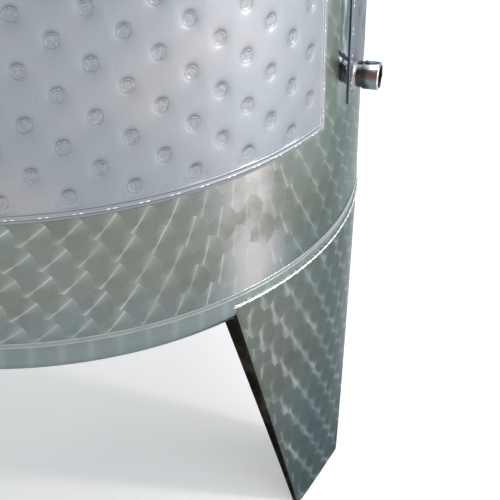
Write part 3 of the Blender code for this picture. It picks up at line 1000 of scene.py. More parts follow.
def bend_round(shape: bmesh.types.BMesh, radius: float, azimuth: float, height: float) -> None:
    """Bends a shape over the XY plane round the tank.

    Args:
        shape: X becomes the arc from the azimuth, Y the height and Z the distance outside the radius.
        radius: radius of the plane's place.
        azimuth: azimuth of X = 0, in degrees.
        height: height of Y = 0.
    """
    for vert in shape.verts:
        across, up, out = vert.co
        vert.co = azimuth_point(azimuth + math.degrees(across / radius), radius + out, height + up)
    bmesh.ops.recalc_face_normals(shape, faces=shape.faces)


def bevelled(shape: bmesh.types.BMesh, edges: list[bmesh.types.BMEdge], size: float, steps: int) -> None:
    """Rounds edges."""
    bmesh.ops.bevel(
        shape, geom=edges, offset=size, affect="EDGES", segments=steps, profile=0.5, material=-1, clamp_overlap=True
    )


def helper_object(name: str, shape: bmesh.types.BMesh) -> bpy.types.Object:
    """An object that only serves a modifier and is removed after it."""
    mesh = bpy.data.meshes.new(name)
    shape.to_mesh(mesh)
    shape.free()
    holder = bpy.data.objects.new(name, mesh)
    bpy.context.scene.collection.objects.link(holder)
    return holder


@dataclass
class Piece:
    """One visible piece of the tank, ready for the frame."""

    name: str
    shape: bmesh.types.BMesh
    material: bpy.types.Material
    slot: str
    stands_for: tuple[str, ...] = ()
    sharp: float = 40.0
    others: tuple[bpy.types.Material, ...] = ()

    def place(self) -> bpy.types.Object:
        """Makes the object, hangs it under the root body and hides the model's parts that it stands for.

        Returns:
            The object, at the origin.
        """
        mesh = bpy.data.meshes.new(self.name)
        self.shape.to_mesh(mesh)
        self.shape.free()
        for material in (self.material, *self.others):
            mesh.materials.append(material)
        mesh.shade_smooth()
        mesh.set_sharp_from_angle(angle=math.radians(self.sharp))
        piece = bpy.data.objects.new(self.name, mesh)
        bpy.context.scene.collection.objects.link(piece)
        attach(piece, "root")
        if self.stands_for:
            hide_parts(*self.stands_for)
        triangles = sum(len(face.vertices) - 2 for face in mesh.polygons)
        LOG.info("%s: %d triangles", self.name, triangles)
        return piece


# --------------------------------------------------------------------------------------------------
# Sub-assemblies
# --------------------------------------------------------------------------------------------------


@dataclass
class Finishes:
    """The materials that the sub-assemblies share."""

    wall: bpy.types.Material
    leg: bpy.types.Material
    leg_back: bpy.types.Material
    jacket: bpy.types.Material
    satin_round: bpy.types.Material
    satin_upright: bpy.types.Material
    weld: bpy.types.Material
    seam: bpy.types.Material
    polished: bpy.types.Material
    turned: bpy.types.Material
    pipe_end: bpy.types.Material
    collar: bpy.types.Material
    line: bpy.types.Material
    ridge: bpy.types.Material
    rubber: bpy.types.Material
    plastic: bpy.types.Material

    @classmethod
    def mixed(cls) -> "Finishes":
        """Makes every material once."""
        return cls(
            # The marbling of the wall and the legs holds painted highlights and painted shade.
            wall=MarbledSteel("marbled_steel", -0.0274, 0.5001, polished_strip=(0.221, 0.262)).material(),
            leg=MarbledSteel(
                "leg_marbled_steel",
                -0.1105,
                0.3315,
                0.018,
                0.058,
                glint_width=0.0018,
                glint_spread=0.12,
                glint_strength=0.46,
                colour=(0.135, 0.145, 0.128),
                cool_colour=(0.112, 0.142, 0.150),
                glint_colour=(0.42, 0.44, 0.44),
                # Painted shade towards the foot of the leg; no painted highlight wash.
                low_shade=(0.0, 0.34, 0.68),
                glare=(0.0, 1.0, 0.0),
            ).material(),
            # Painted shade on the legs' flanges, backs and cut edges and in the sockets' bores.
            leg_back=ShadeBlackSteel().material(),
            jacket=JacketSteel().material(),
            satin_round=SatinSteel("satin_steel_round", Grain.ROUND).material(),
            satin_upright=SatinSteel("satin_steel_upright", Grain.UPRIGHT).material(),
            weld=WeldSteel().material(),
            seam=WeldSteel("planished_weld_steel", (0.200, 0.212, 0.198), (0.180, 0.188, 0.170), 0.27).material(),
            polished=PolishedSteel().material(),
            turned=TurnedSteel().material(),
            pipe_end=PolishedSteel("pipe_end_steel", (0.36, 0.38, 0.40), 0.22).material(),
            collar=WeldSteel("collar_weld_steel", (0.23, 0.216, 0.222), (0.28, 0.26, 0.245), 0.38).material(),
            line=WeldSteel("line_weld_steel", (0.34, 0.365, 0.395), (0.29, 0.31, 0.34), 0.48).material(),
            ridge=WeldSteel("ridge_weld_steel", (0.29, 0.315, 0.310), (0.25, 0.27, 0.265), 0.30).material(),
            rubber=SoftMaterial("rubber", (0.035, 0.036, 0.038), (0.08, 0.08, 0.08), 0.7, 0.00003).material(),
            plastic=SoftMaterial("plastic", (0.55, 0.56, 0.55), (0.5, 0.5, 0.48), 0.45, 0.00002).material(),
        )


@dataclass
class Wall:
    """The rolled wall with its long weld at the back."""

    finishes: Finishes
    radius: float = 0.398
    sheet: float = 0.002
    low: float = 0.3804
    high: float = 1.6248
    segments: int = 288
    weld_width: float = 0.005
    weld_proud: float = 0.0004
    weld_rows: int = 300

    def build(self) -> None:
        """Makes the wall and its long weld."""
        inner = self.radius - self.sheet
        outline = [(self.radius, self.high), (self.radius, self.low), (inner, self.low), (inner, self.high)]
        shape = spun(rounded(outline, 0.0004), self.segments)
        lay_sheet_uv(shape, around(self.radius), 2.0 * math.pi * self.radius)
        Piece("wall", shape, self.finishes.wall, "marbled_steel", ("shell",)).place()
        Piece("wall_long_weld", self._long_weld(), self.finishes.weld, "weld_steel").place()

    def _long_weld(self) -> bmesh.types.BMesh:
        """A flat bead up the back of the wall.

        Returns:
            Its closed shape.
        """
        bead = bmesh.new()
        bmesh.ops.create_grid(bead, x_segments=6, y_segments=self.weld_rows, size=0.5)
        bmesh.ops.scale(bead, vec=(self.weld_width, self.high - self.low, 1.0), verts=bead.verts)
        for vert in bead.verts:
            crown = 1.0 - abs(2.0 * vert.co.x / self.weld_width) ** 3
            ripple = 0.5 + 0.5 * math.sin(vert.co.y * 2500.0 + 900.0 * abs(vert.co.x))
            vert.co.z = self.weld_proud * crown * (0.75 + 0.25 * ripple) + 0.00006
        thickened(bead, -0.0005)
        bend_round(bead, self.radius, 180.0, (self.low + self.high) / 2.0)
        return bead


@dataclass
class Seams:
    """The welds between the wall and its ends: a planished band with a fine ridge on each edge."""

    finishes: Finishes
    wall: Wall
    heights: tuple[tuple[str, float], ...] = (("bottom_seam_weld", 0.3776), ("top_seam_weld", 1.6276))
    half: float = 0.0025
    lap: float = 0.0007
    ridge: float = 0.00045
    band: float = 0.00012
    segments: int = 288

    def build(self) -> None:
        """Makes both seams."""
        outer = self.wall.radius
        inner = outer - self.wall.sheet
        side = [
            (inner, self.half),
            (outer, self.half),
            (outer + 0.00004, self.half + self.lap),
            (outer + self.ridge, self.half + self.lap / 2),
            (outer + self.ridge * 0.8, self.half - 0.0003),
            (outer + self.band, self.half - 0.0009),
        ]
        outline = side + [(radius, -height) for radius, height in reversed(side)]
        for name, height in self.heights:
            shape = placed(spun(outline, self.segments), Matrix.Translation((0.0, 0.0, height)))
            for face in shape.faces:
                if abs(face.calc_center_median().z - height) > self.half - 0.0007:
                    face.material_index = 1
            seam, ridge = self.finishes.seam, self.finishes.ridge
            Piece(name + "_bead", shape, seam, "weld_steel", (name,), 60.0, (ridge,)).place()


@dataclass
class Ends:
    """The dished bottom and top ends."""

    finishes: Finishes
    wall: Wall
    bottom_seam: float = 0.3776
    top_seam: float = 1.6276
    gap: float = 0.0028
    flange: float = 0.015
    knuckle: float = 0.028
    crown: float = 0.8
    sheet: float = 0.002
    drain_hole: float = 0.0185
    manhole_hole: float = 0.198
    segments: int = 192

    def build(self) -> None:
        """Makes both ends."""
        bottom = [(r, self.bottom_seam + z) for r, z in self._outline(self.drain_hole)]
        top = [(r, self.top_seam - z) for r, z in self._outline(self.manhole_hole)]
        for name, node, outline in (("bottom_end", "bottom_head", bottom), ("top_end", "top_head", top)):
            shape = spun(outline, self.segments)
            Piece(name, shape, self.finishes.satin_round, "plain_steel", (node,)).place()

    def _outline(self, hole: float) -> Profile:
        """The closed section of an end under a seam at height 0, down to its hole."""
        return self.side(hole, 0.0) + list(reversed(self.side(hole, -self.sheet)))

    def side(self, hole: float, grow: float) -> Profile:
        """One side of an end's section: flange, knuckle and crown, each tangent to the last.

        Args:
            hole: radius of its hole.
            grow: how far outside the end's outer side it lies.

        Returns:
            Its points from the seam to the hole.
        """
        radius = self.wall.radius
        span = self.crown - self.knuckle
        lean = math.degrees(math.asin((radius - self.knuckle) / span))
        crown_z = span * math.cos(math.radians(lean)) - self.flange
        bend = arc((radius - self.knuckle, -self.flange), self.knuckle + grow, 0.0, lean - 90.0, 14)
        reach = math.degrees(math.asin(hole / (self.crown + grow)))
        dish = arc((0.0, crown_z), self.crown + grow, lean - 90.0, reach - 90.0, 22)
        return [(radius + grow, -self.gap)] + bend + dish[1:]


@dataclass
class Jacket:
    """The dimpled cooling jacket: pillows held by ring welds, and a flat border with its weld lines."""

    finishes: Finishes
    wall: Wall
    bottom: float = 0.519
    top: float = 1.4856
    right_edge: float = JacketSteel.right_edge
    span: float = 350.0
    column_angle: float = JacketSteel.column_angle
    first_column: float = JacketSteel.first_column
    columns: int = 77
    row_pitch: float = JacketSteel.row_pitch
    first_row: float = JacketSteel.first_row
    rows: int = 19
    border: float = 0.010525
    seat: float = 0.0008
    border_proud: float = 0.0015
    pillow: float = 0.0018
    spot: float = JacketSteel.spot
    slope: float = 0.0046
    ring_height: float = 0.00036
    ring_width: float = 0.00045
    nipple_azimuth: float = 40.4
    nipple_heights: tuple[float, float] = (0.5472, 1.4574)
    nipple_clear: float = 0.026
    rings: tuple[float, ...] = (0.0024, 0.0045, 0.0053, 0.0058, 0.0063, 0.0072, 0.0088, 0.0114)
    pieces: int = 3
    tack_pitch: float = 0.0318

    def build(self) -> None:
        """Makes the dimpled field in upright strips, the border and its tack welds."""
        share = math.ceil(self.columns / self.pieces)
        for number in range(self.pieces):
            first = number * share
            strip = self._strip(range(first, min(first + share, self.columns)))
            name = f"jacket_field_{number + 1}"
            Piece(name, strip, self.finishes.jacket, "jacket_steel", ("jacket",), sharp=70.0).place()
        border = self._border()
        line = self.finishes.line
        Piece("jacket_border", border, self.finishes.jacket, "jacket_steel", ("jacket",), 60.0, (line,)).place()
        Piece("jacket_tacks", self._tacks(), self.finishes.weld, "weld_steel").place()

    @property
    def pitch(self) -> float:
        """Arc between two columns of weld spots."""
        return math.radians(self.column_angle) * self.wall.radius

    def _along(self, azimuth: float) -> float:
        """Arc length of an azimuth."""
        return math.radians(azimuth) * self.wall.radius

    def _spots(self) -> np.ndarray:
        """The weld spots as rows of (arc, height)."""
        found = []
        for column in range(self.columns):
            across = self._along(self.first_column - self.column_angle * column)
            odd = column % 2
            for row in range(self.rows if odd else self.rows - 1):
                height = self.first_row + self.row_pitch * (row + (0.0 if odd else 0.5))
                if all(
                    math.hypot(across - self._along(self.nipple_azimuth - 360.0), height - nipple) > self.nipple_clear
                    for nipple in self.nipple_heights
                ):
                    found.append((across, height))
        return np.array(found)

    def _cell(self, right: float, left: float, low: float, high: float) -> bpy.types.Mesh:
        """The flat net of faces round one weld spot, out to a rectangle.

        Args:
            right: reach of the rectangle to the right.
            left: reach to the left.
            low: reach down.
            high: reach up.

        Returns:
            The net, as a mesh round the origin.
        """
        sides = 16
        half = self.row_pitch / 2
        shape = bmesh.new()
        bmesh.ops.create_circle(shape, cap_ends=True, segments=sides, radius=self.rings[0])
        rim = shape.edges[:]
        size = self.rings[0]
        for ring in (*self.rings[1:], 2.0):
            grown = bmesh.ops.extrude_edge_only(shape, edges=rim)["geom"]
            points = [item for item in grown if isinstance(item, bmesh.types.BMVert)]
            bmesh.ops.scale(shape, vec=(ring / size, ring / size, 1.0), verts=points)
            rim = [item for item in grown if isinstance(item, bmesh.types.BMEdge) and item.is_boundary]
            size = ring
        for vert in points:
            angle = math.degrees(math.atan2(vert.co.y, vert.co.x)) % 360.0
            step = round(angle / 22.5) % sides
            across = (1.0, 1.0, 1.0, 0.5, 0.0, -0.5, -1.0, -1.0, -1.0, -1.0, -1.0, -0.5, 0.0, 0.5, 1.0, 1.0)[step]
            up = (0.0, 0.5, 1.0, 1.0, 1.0, 1.0, 1.0, 0.5, 0.0, -0.5, -1.0, -1.0, -1.0, -1.0, -1.0, -0.5)[step]
            vert.co.x = across * (right if across > 0.0 else left)
            vert.co.y = max(-low, min(high, up * half))
        spokes = [
            edge
            for edge in shape.edges
            if len({vert in set(points) for vert in edge.verts}) == 2
        ]
        bmesh.ops.subdivide_edges(shape, edges=spokes, cuts=1)
        bmesh.ops.remove_doubles(shape, verts=shape.verts, dist=MERGE)
        net = bpy.data.meshes.new("cell")
        shape.to_mesh(net)
        shape.free()
        return net

    def _strip(self, columns: range) -> bmesh.types.BMesh:
        """The dimpled sheet over some of the columns.

        Args:
            columns: the columns that it takes.

        Returns:
            Its closed shape.
        """
        nets: dict[tuple[float, ...], bpy.types.Mesh] = {}
        half = self.row_pitch / 2
        right_line = self._along(self.right_edge) - self.border
        left_line = self._along(self.right_edge - self.span) + self.border
        stripes = []
        for column in columns:
            stripe = bmesh.new()
            across = self._along(self.first_column - self.column_angle * column)
            right = right_line - across if column == 0 else self.pitch / 2
            left = across - left_line if column == self.columns - 1 else self.pitch / 2
            odd = column % 2
            count = self.rows if odd else self.rows - 1
            for row in range(count):
                low = half / 2 if odd and row == 0 else half
                high = half / 2 if odd and row == count - 1 else half
                key = tuple(round(value, 6) for value in (right, left, low, high))
                if key not in nets:
                    nets[key] = self._cell(right, left, low, high)
                net = nets[key].copy()
                height = self.first_row + self.row_pitch * (row + (0.0 if odd else 0.5))
                net.transform(Matrix.Translation((across, height, 0.0)))
                stripe.from_mesh(net)
                bpy.data.meshes.remove(net)
            if not odd:
                last_row = self.first_row + self.row_pitch * (self.rows - 1)
                self._add_filler(stripe, across, right, left, self.first_row, -half / 2)
                self._add_filler(stripe, across, right, left, last_row, half / 2)
            stripes.append(stripe)
        for net in nets.values():
            bpy.data.meshes.remove(net)
        shape = joined(stripes)
        bmesh.ops.remove_doubles(shape, verts=shape.verts, dist=MERGE)
        bmesh.ops.recalc_face_normals(shape, faces=shape.faces)
        self._raise_pillows(shape)
        self._close_back(shape)
        bend_round(shape, self.wall.radius, 0.0, 0.0)
        return shape

    def _close_back(self, shape: bmesh.types.BMesh) -> None:
        """Gives the dimpled sheet its sides and a plain back of larger faces.

        Args:
            shape: the flat sheet with its relief in Z.
        """
        rim = [edge for edge in shape.edges if edge.is_boundary]
        grown = bmesh.ops.extrude_edge_only(shape, edges=rim)["geom"]
        points = {item for item in grown if isinstance(item, bmesh.types.BMVert)}
        for vert in points:
            vert.co.z = 0.0002
        low = min(vert.co.y for vert in points)
        high = max(vert.co.y for vert in points)
        ends = [
            item
            for item in grown
            if isinstance(item, bmesh.types.BMEdge)
            and points.issuperset(item.verts)
            and any(all(abs(vert.co.y - line) < MERGE for vert in item.verts) for line in (low, high))
        ]
        bmesh.ops.grid_fill(shape, edges=ends)

    def _add_filler(
        self, shape: bmesh.types.BMesh, across: float, right: float, left: float, start: float, reach: float
    ) -> None:
        """Adds the four faces between a half-shifted column's end and the border.

        Args:
            shape: the strip.
            across: the column's place.
            right: its reach to the right.
            left: its reach to the left.
            start: height of the column's end.
            reach: from there to the border.
        """
        made = bmesh.ops.create_grid(shape, x_segments=4, y_segments=1, size=1.0)["verts"]
        for vert in made:
            side = vert.co.x * (right if vert.co.x > 0.0 else left)
            vert.co = (across + side, start + reach * (vert.co.y + 1.0) / 2.0, 0.0)

    def _raise_pillows(self, shape: bmesh.types.BMesh) -> None:
        """Lifts the sheet between the weld spots and at their rings.

        Args:
            shape: the flat sheet, whose Z becomes its height over the wall.
        """
        spots = self._spots()
        points = np.array([vert.co[:2] for vert in shape.verts])
        low = self.bottom + self.border
        high = self.top - self.border
        right = self._along(self.right_edge) - self.border
        left = self._along(self.right_edge - self.span) + self.border
        drop = np.zeros(len(points))
        ring = np.zeros(len(points))
        grid: dict[int, list[int]] = {}
        for index, spot in enumerate(spots):
            grid.setdefault(round(spot[0] / self.pitch), []).append(index)
        cells = np.round(points[:, 0] / self.pitch).astype(int)
        for cell in np.unique(cells):
            near = [index for step in (-2, -1, 0, 1, 2) for index in grid.get(cell + step, [])]
            chosen = np.nonzero(cells == cell)[0]
            if not near:
                continue
            offsets = points[chosen][:, None, :] - spots[near][None, :, :]
            away = np.sqrt((offsets**2).sum(axis=2))
            drop[chosen] = np.exp(-np.maximum(away - self.spot, 0.0) / self.slope).sum(axis=1)
            ring[chosen] = np.exp(-(((away - self.spot) / self.ring_width) ** 2)).sum(axis=1)
        inside = np.minimum.reduce([points[:, 0] - left, right - points[:, 0], points[:, 1] - low, high - points[:, 1]])
        edge = np.clip(inside / 0.016, 0.0, 1.0)
        edge = edge * edge * (3.0 - 2.0 * edge)
        lump = np.sin(points[:, 0] * 1510.0 + points[:, 1] * 700.0) * np.sin(points[:, 1] * 1730.0)
        pressed = self.ring_height * ring * (1.0 + 0.7 * lump) + 0.0001 * lump * (drop > 0.97)
        level = self.seat + self.pillow * np.clip(1.0 - drop, 0.0, 1.0) * edge + pressed
        level = np.where(inside < 0.0001, self.border_proud, level)
        for vert, height in zip(shape.verts, level):
            vert.co.z = height

    def _border(self) -> bmesh.types.BMesh:
        """The flat frame round the field, with its two raised lines.

        Returns:
            Its closed shape.
        """
        width = self._along(self.span)
        height = self.top - self.bottom
        stations = (
            (0.0000, 0.0011),
            (0.0003, 0.0014),
            (0.0008, 0.0015),
            (0.0039, 0.00150),
            (0.0044, 0.00172),
            (0.0049, 0.00185),
            (0.0054, 0.00168),
            (0.0060, 0.00145),
            (0.0088, 0.00150),
            (0.0094, 0.00180),
            (0.0100, 0.00180),
            (0.010525, 0.00150),
        )
        shape = bmesh.new()
        corners = [shape.verts.new((x * width / 2, y * height / 2, 0.0)) for x, y in ((-1, -1), (1, -1), (1, 1), (-1, 1))]
        sides = [shape.edges.new((corners[i - 1], corners[i])) for i in range(4)]
        level_sides = [side for side in sides if side.verts[0].co.y == side.verts[1].co.y]
        upright_sides = [side for side in sides if side not in level_sides]
        bmesh.ops.subdivide_edges(shape, edges=level_sides, cuts=311)
        bmesh.ops.subdivide_edges(shape, edges=upright_sides, cuts=75)
        for vert in shape.verts:
            vert.co.z = stations[0][1]
        rim = shape.edges[:]
        inset = 0.0
        for distance, proud in stations[1:]:
            grown = bmesh.ops.extrude_edge_only(shape, edges=rim)["geom"]
            points = [item for item in grown if isinstance(item, bmesh.types.BMVert)]
            share = (
                (width - 2 * distance) / (width - 2 * inset),
                (height - 2 * distance) / (height - 2 * inset),
                1.0,
            )
            bmesh.ops.scale(shape, vec=share, verts=points)
            for vert in points:
                vert.co.z = proud
            held = set(points)
            rim = [item for item in grown if isinstance(item, bmesh.types.BMEdge) and held.issuperset(item.verts)]
            inset = distance
        bmesh.ops.recalc_face_normals(shape, faces=shape.faces)
        for face in shape.faces:
            spot = face.calc_center_median()
            inset = min(width / 2 - abs(spot.x), height / 2 - abs(spot.y))
            seen_line = 0.0044 < inset < 0.0054 or inset > 0.0097
            if seen_line and spot.x > 0.03 - width / 2:
                face.material_index = 1
        thickened(shape, 0.0002)
        middle = self.right_edge - self.span / 2
        bend_round(shape, self.wall.radius, middle, (self.bottom + self.top) / 2)
        return shape

    def _tacks(self) -> bmesh.types.BMesh:
        """Pairs of small dashes on the middle line of the border.

        Returns:
            Their shapes as one mesh.
        """
        inset = 0.0049
        width = self._along(self.span) - 2 * inset
        height = self.top - self.bottom - 2 * inset
        dash = bmesh.new()
        bmesh.ops.create_uvsphere(dash, u_segments=8, v_segments=4, radius=1.0)
        grain = bpy.data.meshes.new("dash")
        dash.to_mesh(grain)
        dash.free()
        shape = bmesh.new()
        places: list[tuple[float, float, bool]] = []
        for side in (-0.5, 0.5):
            count = round(width / self.tack_pitch)
            places += [((i + 0.5) / count * width - width / 2, side * height, True) for i in range(count)]
            count = round(height / self.tack_pitch)
            places += [(side * width, (i + 0.5) / count * height - height / 2, False) for i in range(count)]
        for across, up, level in places:
            for shift in (-0.0032, 0.0032):
                copy = grain.copy()
                size = (0.0024, 0.0006, 0.0004) if level else (0.0006, 0.0016, 0.0004)
                move = (across + (shift if level else 0.0), up + (0.0 if level else shift), 0.0018)
                copy.transform(Matrix.Translation(move) @ Matrix.Diagonal((*size, 1.0)))
                shape.from_mesh(copy)
                bpy.data.meshes.remove(copy)
        bpy.data.meshes.remove(grain)
        bend_round(shape, self.wall.radius, self.right_edge - self.span / 2, (self.bottom + self.top) / 2)
        return shape


@dataclass
class JacketPipes:
    """The two screwed sockets of the jacket, with their weld collars."""

    finishes: Finishes
    wall: Wall
    azimuth: float = 40.4
    heights: tuple[tuple[str, float], ...] = (("lower_nipple", 0.5472), ("upper_nipple", 1.4574))
    reach: float = 0.0305
    inside: float = 0.001
    bore: float = 0.0122
    neck: float = 0.0147
    socket: float = 0.0160
    socket_length: float = 0.018
    chamfer: float = 0.0011
    thread_pitch: float = 0.00181
    thread_depth: float = 0.0007
    collar: float = 0.0034
    segments: int = 72

    def build(self) -> None:
        """Makes both sockets and their weld collars."""
        for name, height in self.heights:
            stand = standing_out(self.azimuth, self.wall.radius, height)
            pipe = spun(self._outline(), self.segments)
            for face in pipe.faces:
                middle = face.calc_center_median()
                # The bore takes the painted shade finish, the end face the pipe-end finish.
                if middle.xy.length < self.bore + self.thread_depth + 0.0002:
                    face.material_index = 2
                elif middle.z > self.reach - self.chamfer - 0.0003:
                    face.material_index = 1
            pipe = placed(pipe, stand)
            others = (self.finishes.pipe_end, self.finishes.leg_back)
            Piece(name + "_socket", pipe, self.finishes.turned, "polished_steel", (name,), 50.0, others).place()
            collar = placed(self._collar(), stand)
            Piece(name + "_weld", collar, self.finishes.collar, "weld_steel", sharp=60.0).place()

    def _outline(self) -> Profile:
        """The section of a socket, with the thread in its bore."""
        shoulder = self.reach - self.socket_length
        step = self.socket - self.neck
        outline = [
            (self.neck, self.inside),
            (self.neck, shoulder - step - 0.0004),
            (self.neck + 0.0002, shoulder - step),
            (self.socket - 0.0002, shoulder - 0.0001),
            (self.socket, shoulder + 0.0004),
            (self.socket, self.reach - self.chamfer - 0.0002),
            (self.socket - 0.0002, self.reach - self.chamfer),
            (self.socket - self.chamfer, self.reach - 0.0001),
            (self.socket - self.chamfer - 0.0004, self.reach),
            (self.bore + self.thread_depth + 0.0008, self.reach),
            (self.bore + self.thread_depth, self.reach - 0.0008),
        ]
        place = self.reach - 0.0012
        while place > self.reach - self.socket_length + self.thread_pitch:
            outline.append((self.bore + self.thread_depth, place))
            outline.append((self.bore, place - self.thread_pitch / 2))
            place -= self.thread_pitch
        outline.append((self.bore, self.inside))
        return outline

    def _collar(self) -> bmesh.types.BMesh:
        """The rippled fillet weld between the neck and the jacket."""
        low = -0.0006
        seat = 0.0016
        outline = [
            (self.neck - 0.0005, low),
            (self.neck + self.collar + 0.0006, low),
            (self.neck + self.collar + 0.0003, seat),
            (self.neck + self.collar * 0.62, seat + self.collar * 0.34),
            (self.neck + self.collar * 0.30, seat + self.collar * 0.68),
            (self.neck + 0.0004, seat + self.collar),
            (self.neck - 0.0005, seat + self.collar),
        ]
        shape = spun(outline, 96)
        for vert in shape.verts:
            angle = math.atan2(vert.co.y, vert.co.x)
            if vert.co.z > low + 0.0001:
                vert.co.z += 0.00016 * math.sin(angle * 32.0) + 0.0002 * math.sin(angle * 3.0 + 1.0)
        return shape


@dataclass
class Legs:
    """Three legs of folded sheet, each with its weld to the bottom end."""

    finishes: Finishes
    wall: Wall
    ends: Ends
    azimuths: tuple[float, ...] = (30.0, 150.0, 270.0)
    sheet: float = 0.003
    proud: float = 0.0008
    top: float = 0.3636
    top_half_angle: float = 23.9
    foot_half: float = 0.0604
    foot_middle: float = 0.3970
    foot_sagitta: float = 0.0003
    bend: float = 0.008
    flange_top: float = 0.017
    flange_foot: float = 0.0015
    undercut: float = 0.012
    web_steps: int = 16
    bend_steps: int = 6
    flange_steps: int = 2
    height_steps: int = 40
    bead: float = 0.0019

    def build(self) -> None:
        """Makes the legs and their welds."""
        for number, azimuth in enumerate(self.azimuths, start=1):
            turn = turned_about(azimuth)
            leg = placed(self._leg(), turn)
            name = f"leg_{number}"
            piece = Piece(
                name + "_sheet", leg, self.finishes.leg, "marbled_steel", (name,), others=(self.finishes.leg_back,)
            )
            piece.place()
            weld = placed(self._weld(float(number)), turn)
            Piece(name + "_weld", weld, self.finishes.weld, "weld_steel").place()

    def _section(self, share: float) -> Profile:
        """Half of the leg's outer line at a height.

        Args:
            share: 0 at the foot and 1 at the top.

        Returns:
            Points (across, outward) from the middle to the free edge.
        """
        top_r = self.wall.radius + self.proud
        half_angle = math.radians(self.top_half_angle)
        half = self.foot_half + (top_r * math.sin(half_angle) - self.foot_half) * share
        sagitta = self.foot_sagitta + (top_r * (1.0 - math.cos(half_angle)) - self.foot_sagitta) * share
        sagitta = max(sagitta, self.foot_sagitta)
        middle = self.foot_middle + (top_r - self.foot_middle) * share
        flange = self.flange_foot + (self.flange_top - self.flange_foot) * share
        radius = (half**2 + sagitta**2) / (2.0 * sagitta)
        end = math.asin((half - self.bend) / (radius - self.bend))
        points = []
        for step in range(self.web_steps + 1):
            lean = end * step / self.web_steps
            points.append((radius * math.sin(lean), middle - radius + radius * math.cos(lean)))
        across, outward = points[-1]
        for step in range(1, self.bend_steps + 1):
            lean = end + (math.pi / 2 - end) * step / self.bend_steps
            reach = self.bend * (math.sin(lean) - math.sin(end))
            fall = self.bend * (math.cos(lean) - math.cos(end))
            points.append((across + reach, outward + fall))
        across, outward = points[-1]
        for step in range(1, self.flange_steps + 1):
            points.append((across, outward - flange * step / self.flange_steps))
        return points

    def _leg(self) -> bmesh.types.BMesh:
        """The folded sheet at azimuth 0, cut by the bottom end and the floor.

        Returns:
            Its closed shape, with sheet coordinates; faces off the marbled side take the second finish, a painted
            shade.
        """
        half_columns = self.web_steps + self.bend_steps + self.flange_steps
        shape = bmesh.new()
        bmesh.ops.create_grid(shape, x_segments=2 * half_columns, y_segments=self.height_steps, size=1.0)
        layer = shape.loops.layers.uv.new(SHEET_UV)
        sheet_place: dict[int, tuple[float, float]] = {}
        for vert in shape.verts:
            column = round(vert.co.x * half_columns)
            height = (self.top + self.undercut) * (vert.co.y + 1.0) / 2.0 - self.undercut
            line = self._section(height / self.top)
            across, outward = line[abs(column)]
            walked = sum(math.dist(a, b) for a, b in zip(line[: abs(column)], line[1 : abs(column) + 1]))
            vert.co = (math.copysign(across, column) if column else 0.0, -outward, height)
            sheet_place[vert.index] = (math.copysign(walked, column) if column else 0.0, height)
        for face in shape.faces:
            for loop in face.loops:
                loop[layer].uv = sheet_place[loop.vert.index]
        shape.normal_update()
        if sum(face.normal.y for face in shape.faces) > 0.0:
            bmesh.ops.reverse_faces(shape, faces=shape.faces)
        mesh = bpy.data.meshes.new("leg_blank")
        shape.to_mesh(mesh)
        shape.free()
        blank = bpy.data.objects.new("leg_blank", mesh)
        bpy.context.scene.collection.objects.link(blank)
        wall = blank.modifiers.new("sheet", "SOLIDIFY")
        wall.thickness = self.sheet
        wall.offset = -1.0
        # The back and the cut edges take the painted shade finish.
        wall.material_offset = 1
        wall.material_offset_rim = 1
        for _ in range(2):
            mesh.materials.append(None)
        cutters = [self._end_cutter(), self._floor_cutter()]
        for cutter in cutters:
            step = blank.modifiers.new("cut", "BOOLEAN")
            step.object = cutter
            step.operation = "DIFFERENCE"
            step.solver = "EXACT"
        cut = bpy.data.meshes.new_from_object(blank.evaluated_get(bpy.context.evaluated_depsgraph_get()))
        leg = bmesh.new()
        leg.from_mesh(cut)
        for item in (*cutters, blank):
            bpy.data.objects.remove(item)
        # The outward faces of the flanges take the painted shade finish too.
        for face in leg.faces:
            middle = face.calc_center_median()
            line = self._section(middle.z / self.top)
            flank = line[self.web_steps + self.bend_steps - 2][0]
            outward = abs(face.normal.x) > 0.8 and abs(middle.x) >= flank and middle.x * face.normal.x > 0.0
            if outward:
                face.material_index = 1
        return leg

    def _end_cutter(self) -> bpy.types.Object:
        """The space of the bottom end, as an object for the cut."""
        side = self.ends.side(0.0, SEAT_GAP)
        outline = [(0.0, 0.0), (self.wall.radius + SEAT_GAP, 0.0)] + side[1:]
        lifted = [(radius, self.ends.bottom_seam + height) for radius, height in outline]
        return helper_object("end_space", spun(lifted, 288, closed=False))

    def _floor_cutter(self) -> bpy.types.Object:
        """The space under the floor, as an object for the cut."""
        shape = bmesh.new()
        bmesh.ops.create_cube(shape, size=1.0)
        depth = 4.0 * self.undercut
        bmesh.ops.scale(shape, vec=(1.4, 1.4, depth), verts=shape.verts)
        bmesh.ops.translate(shape, vec=(0.0, 0.0, -depth / 2.0), verts=shape.verts)
        return helper_object("floor_space", shape)

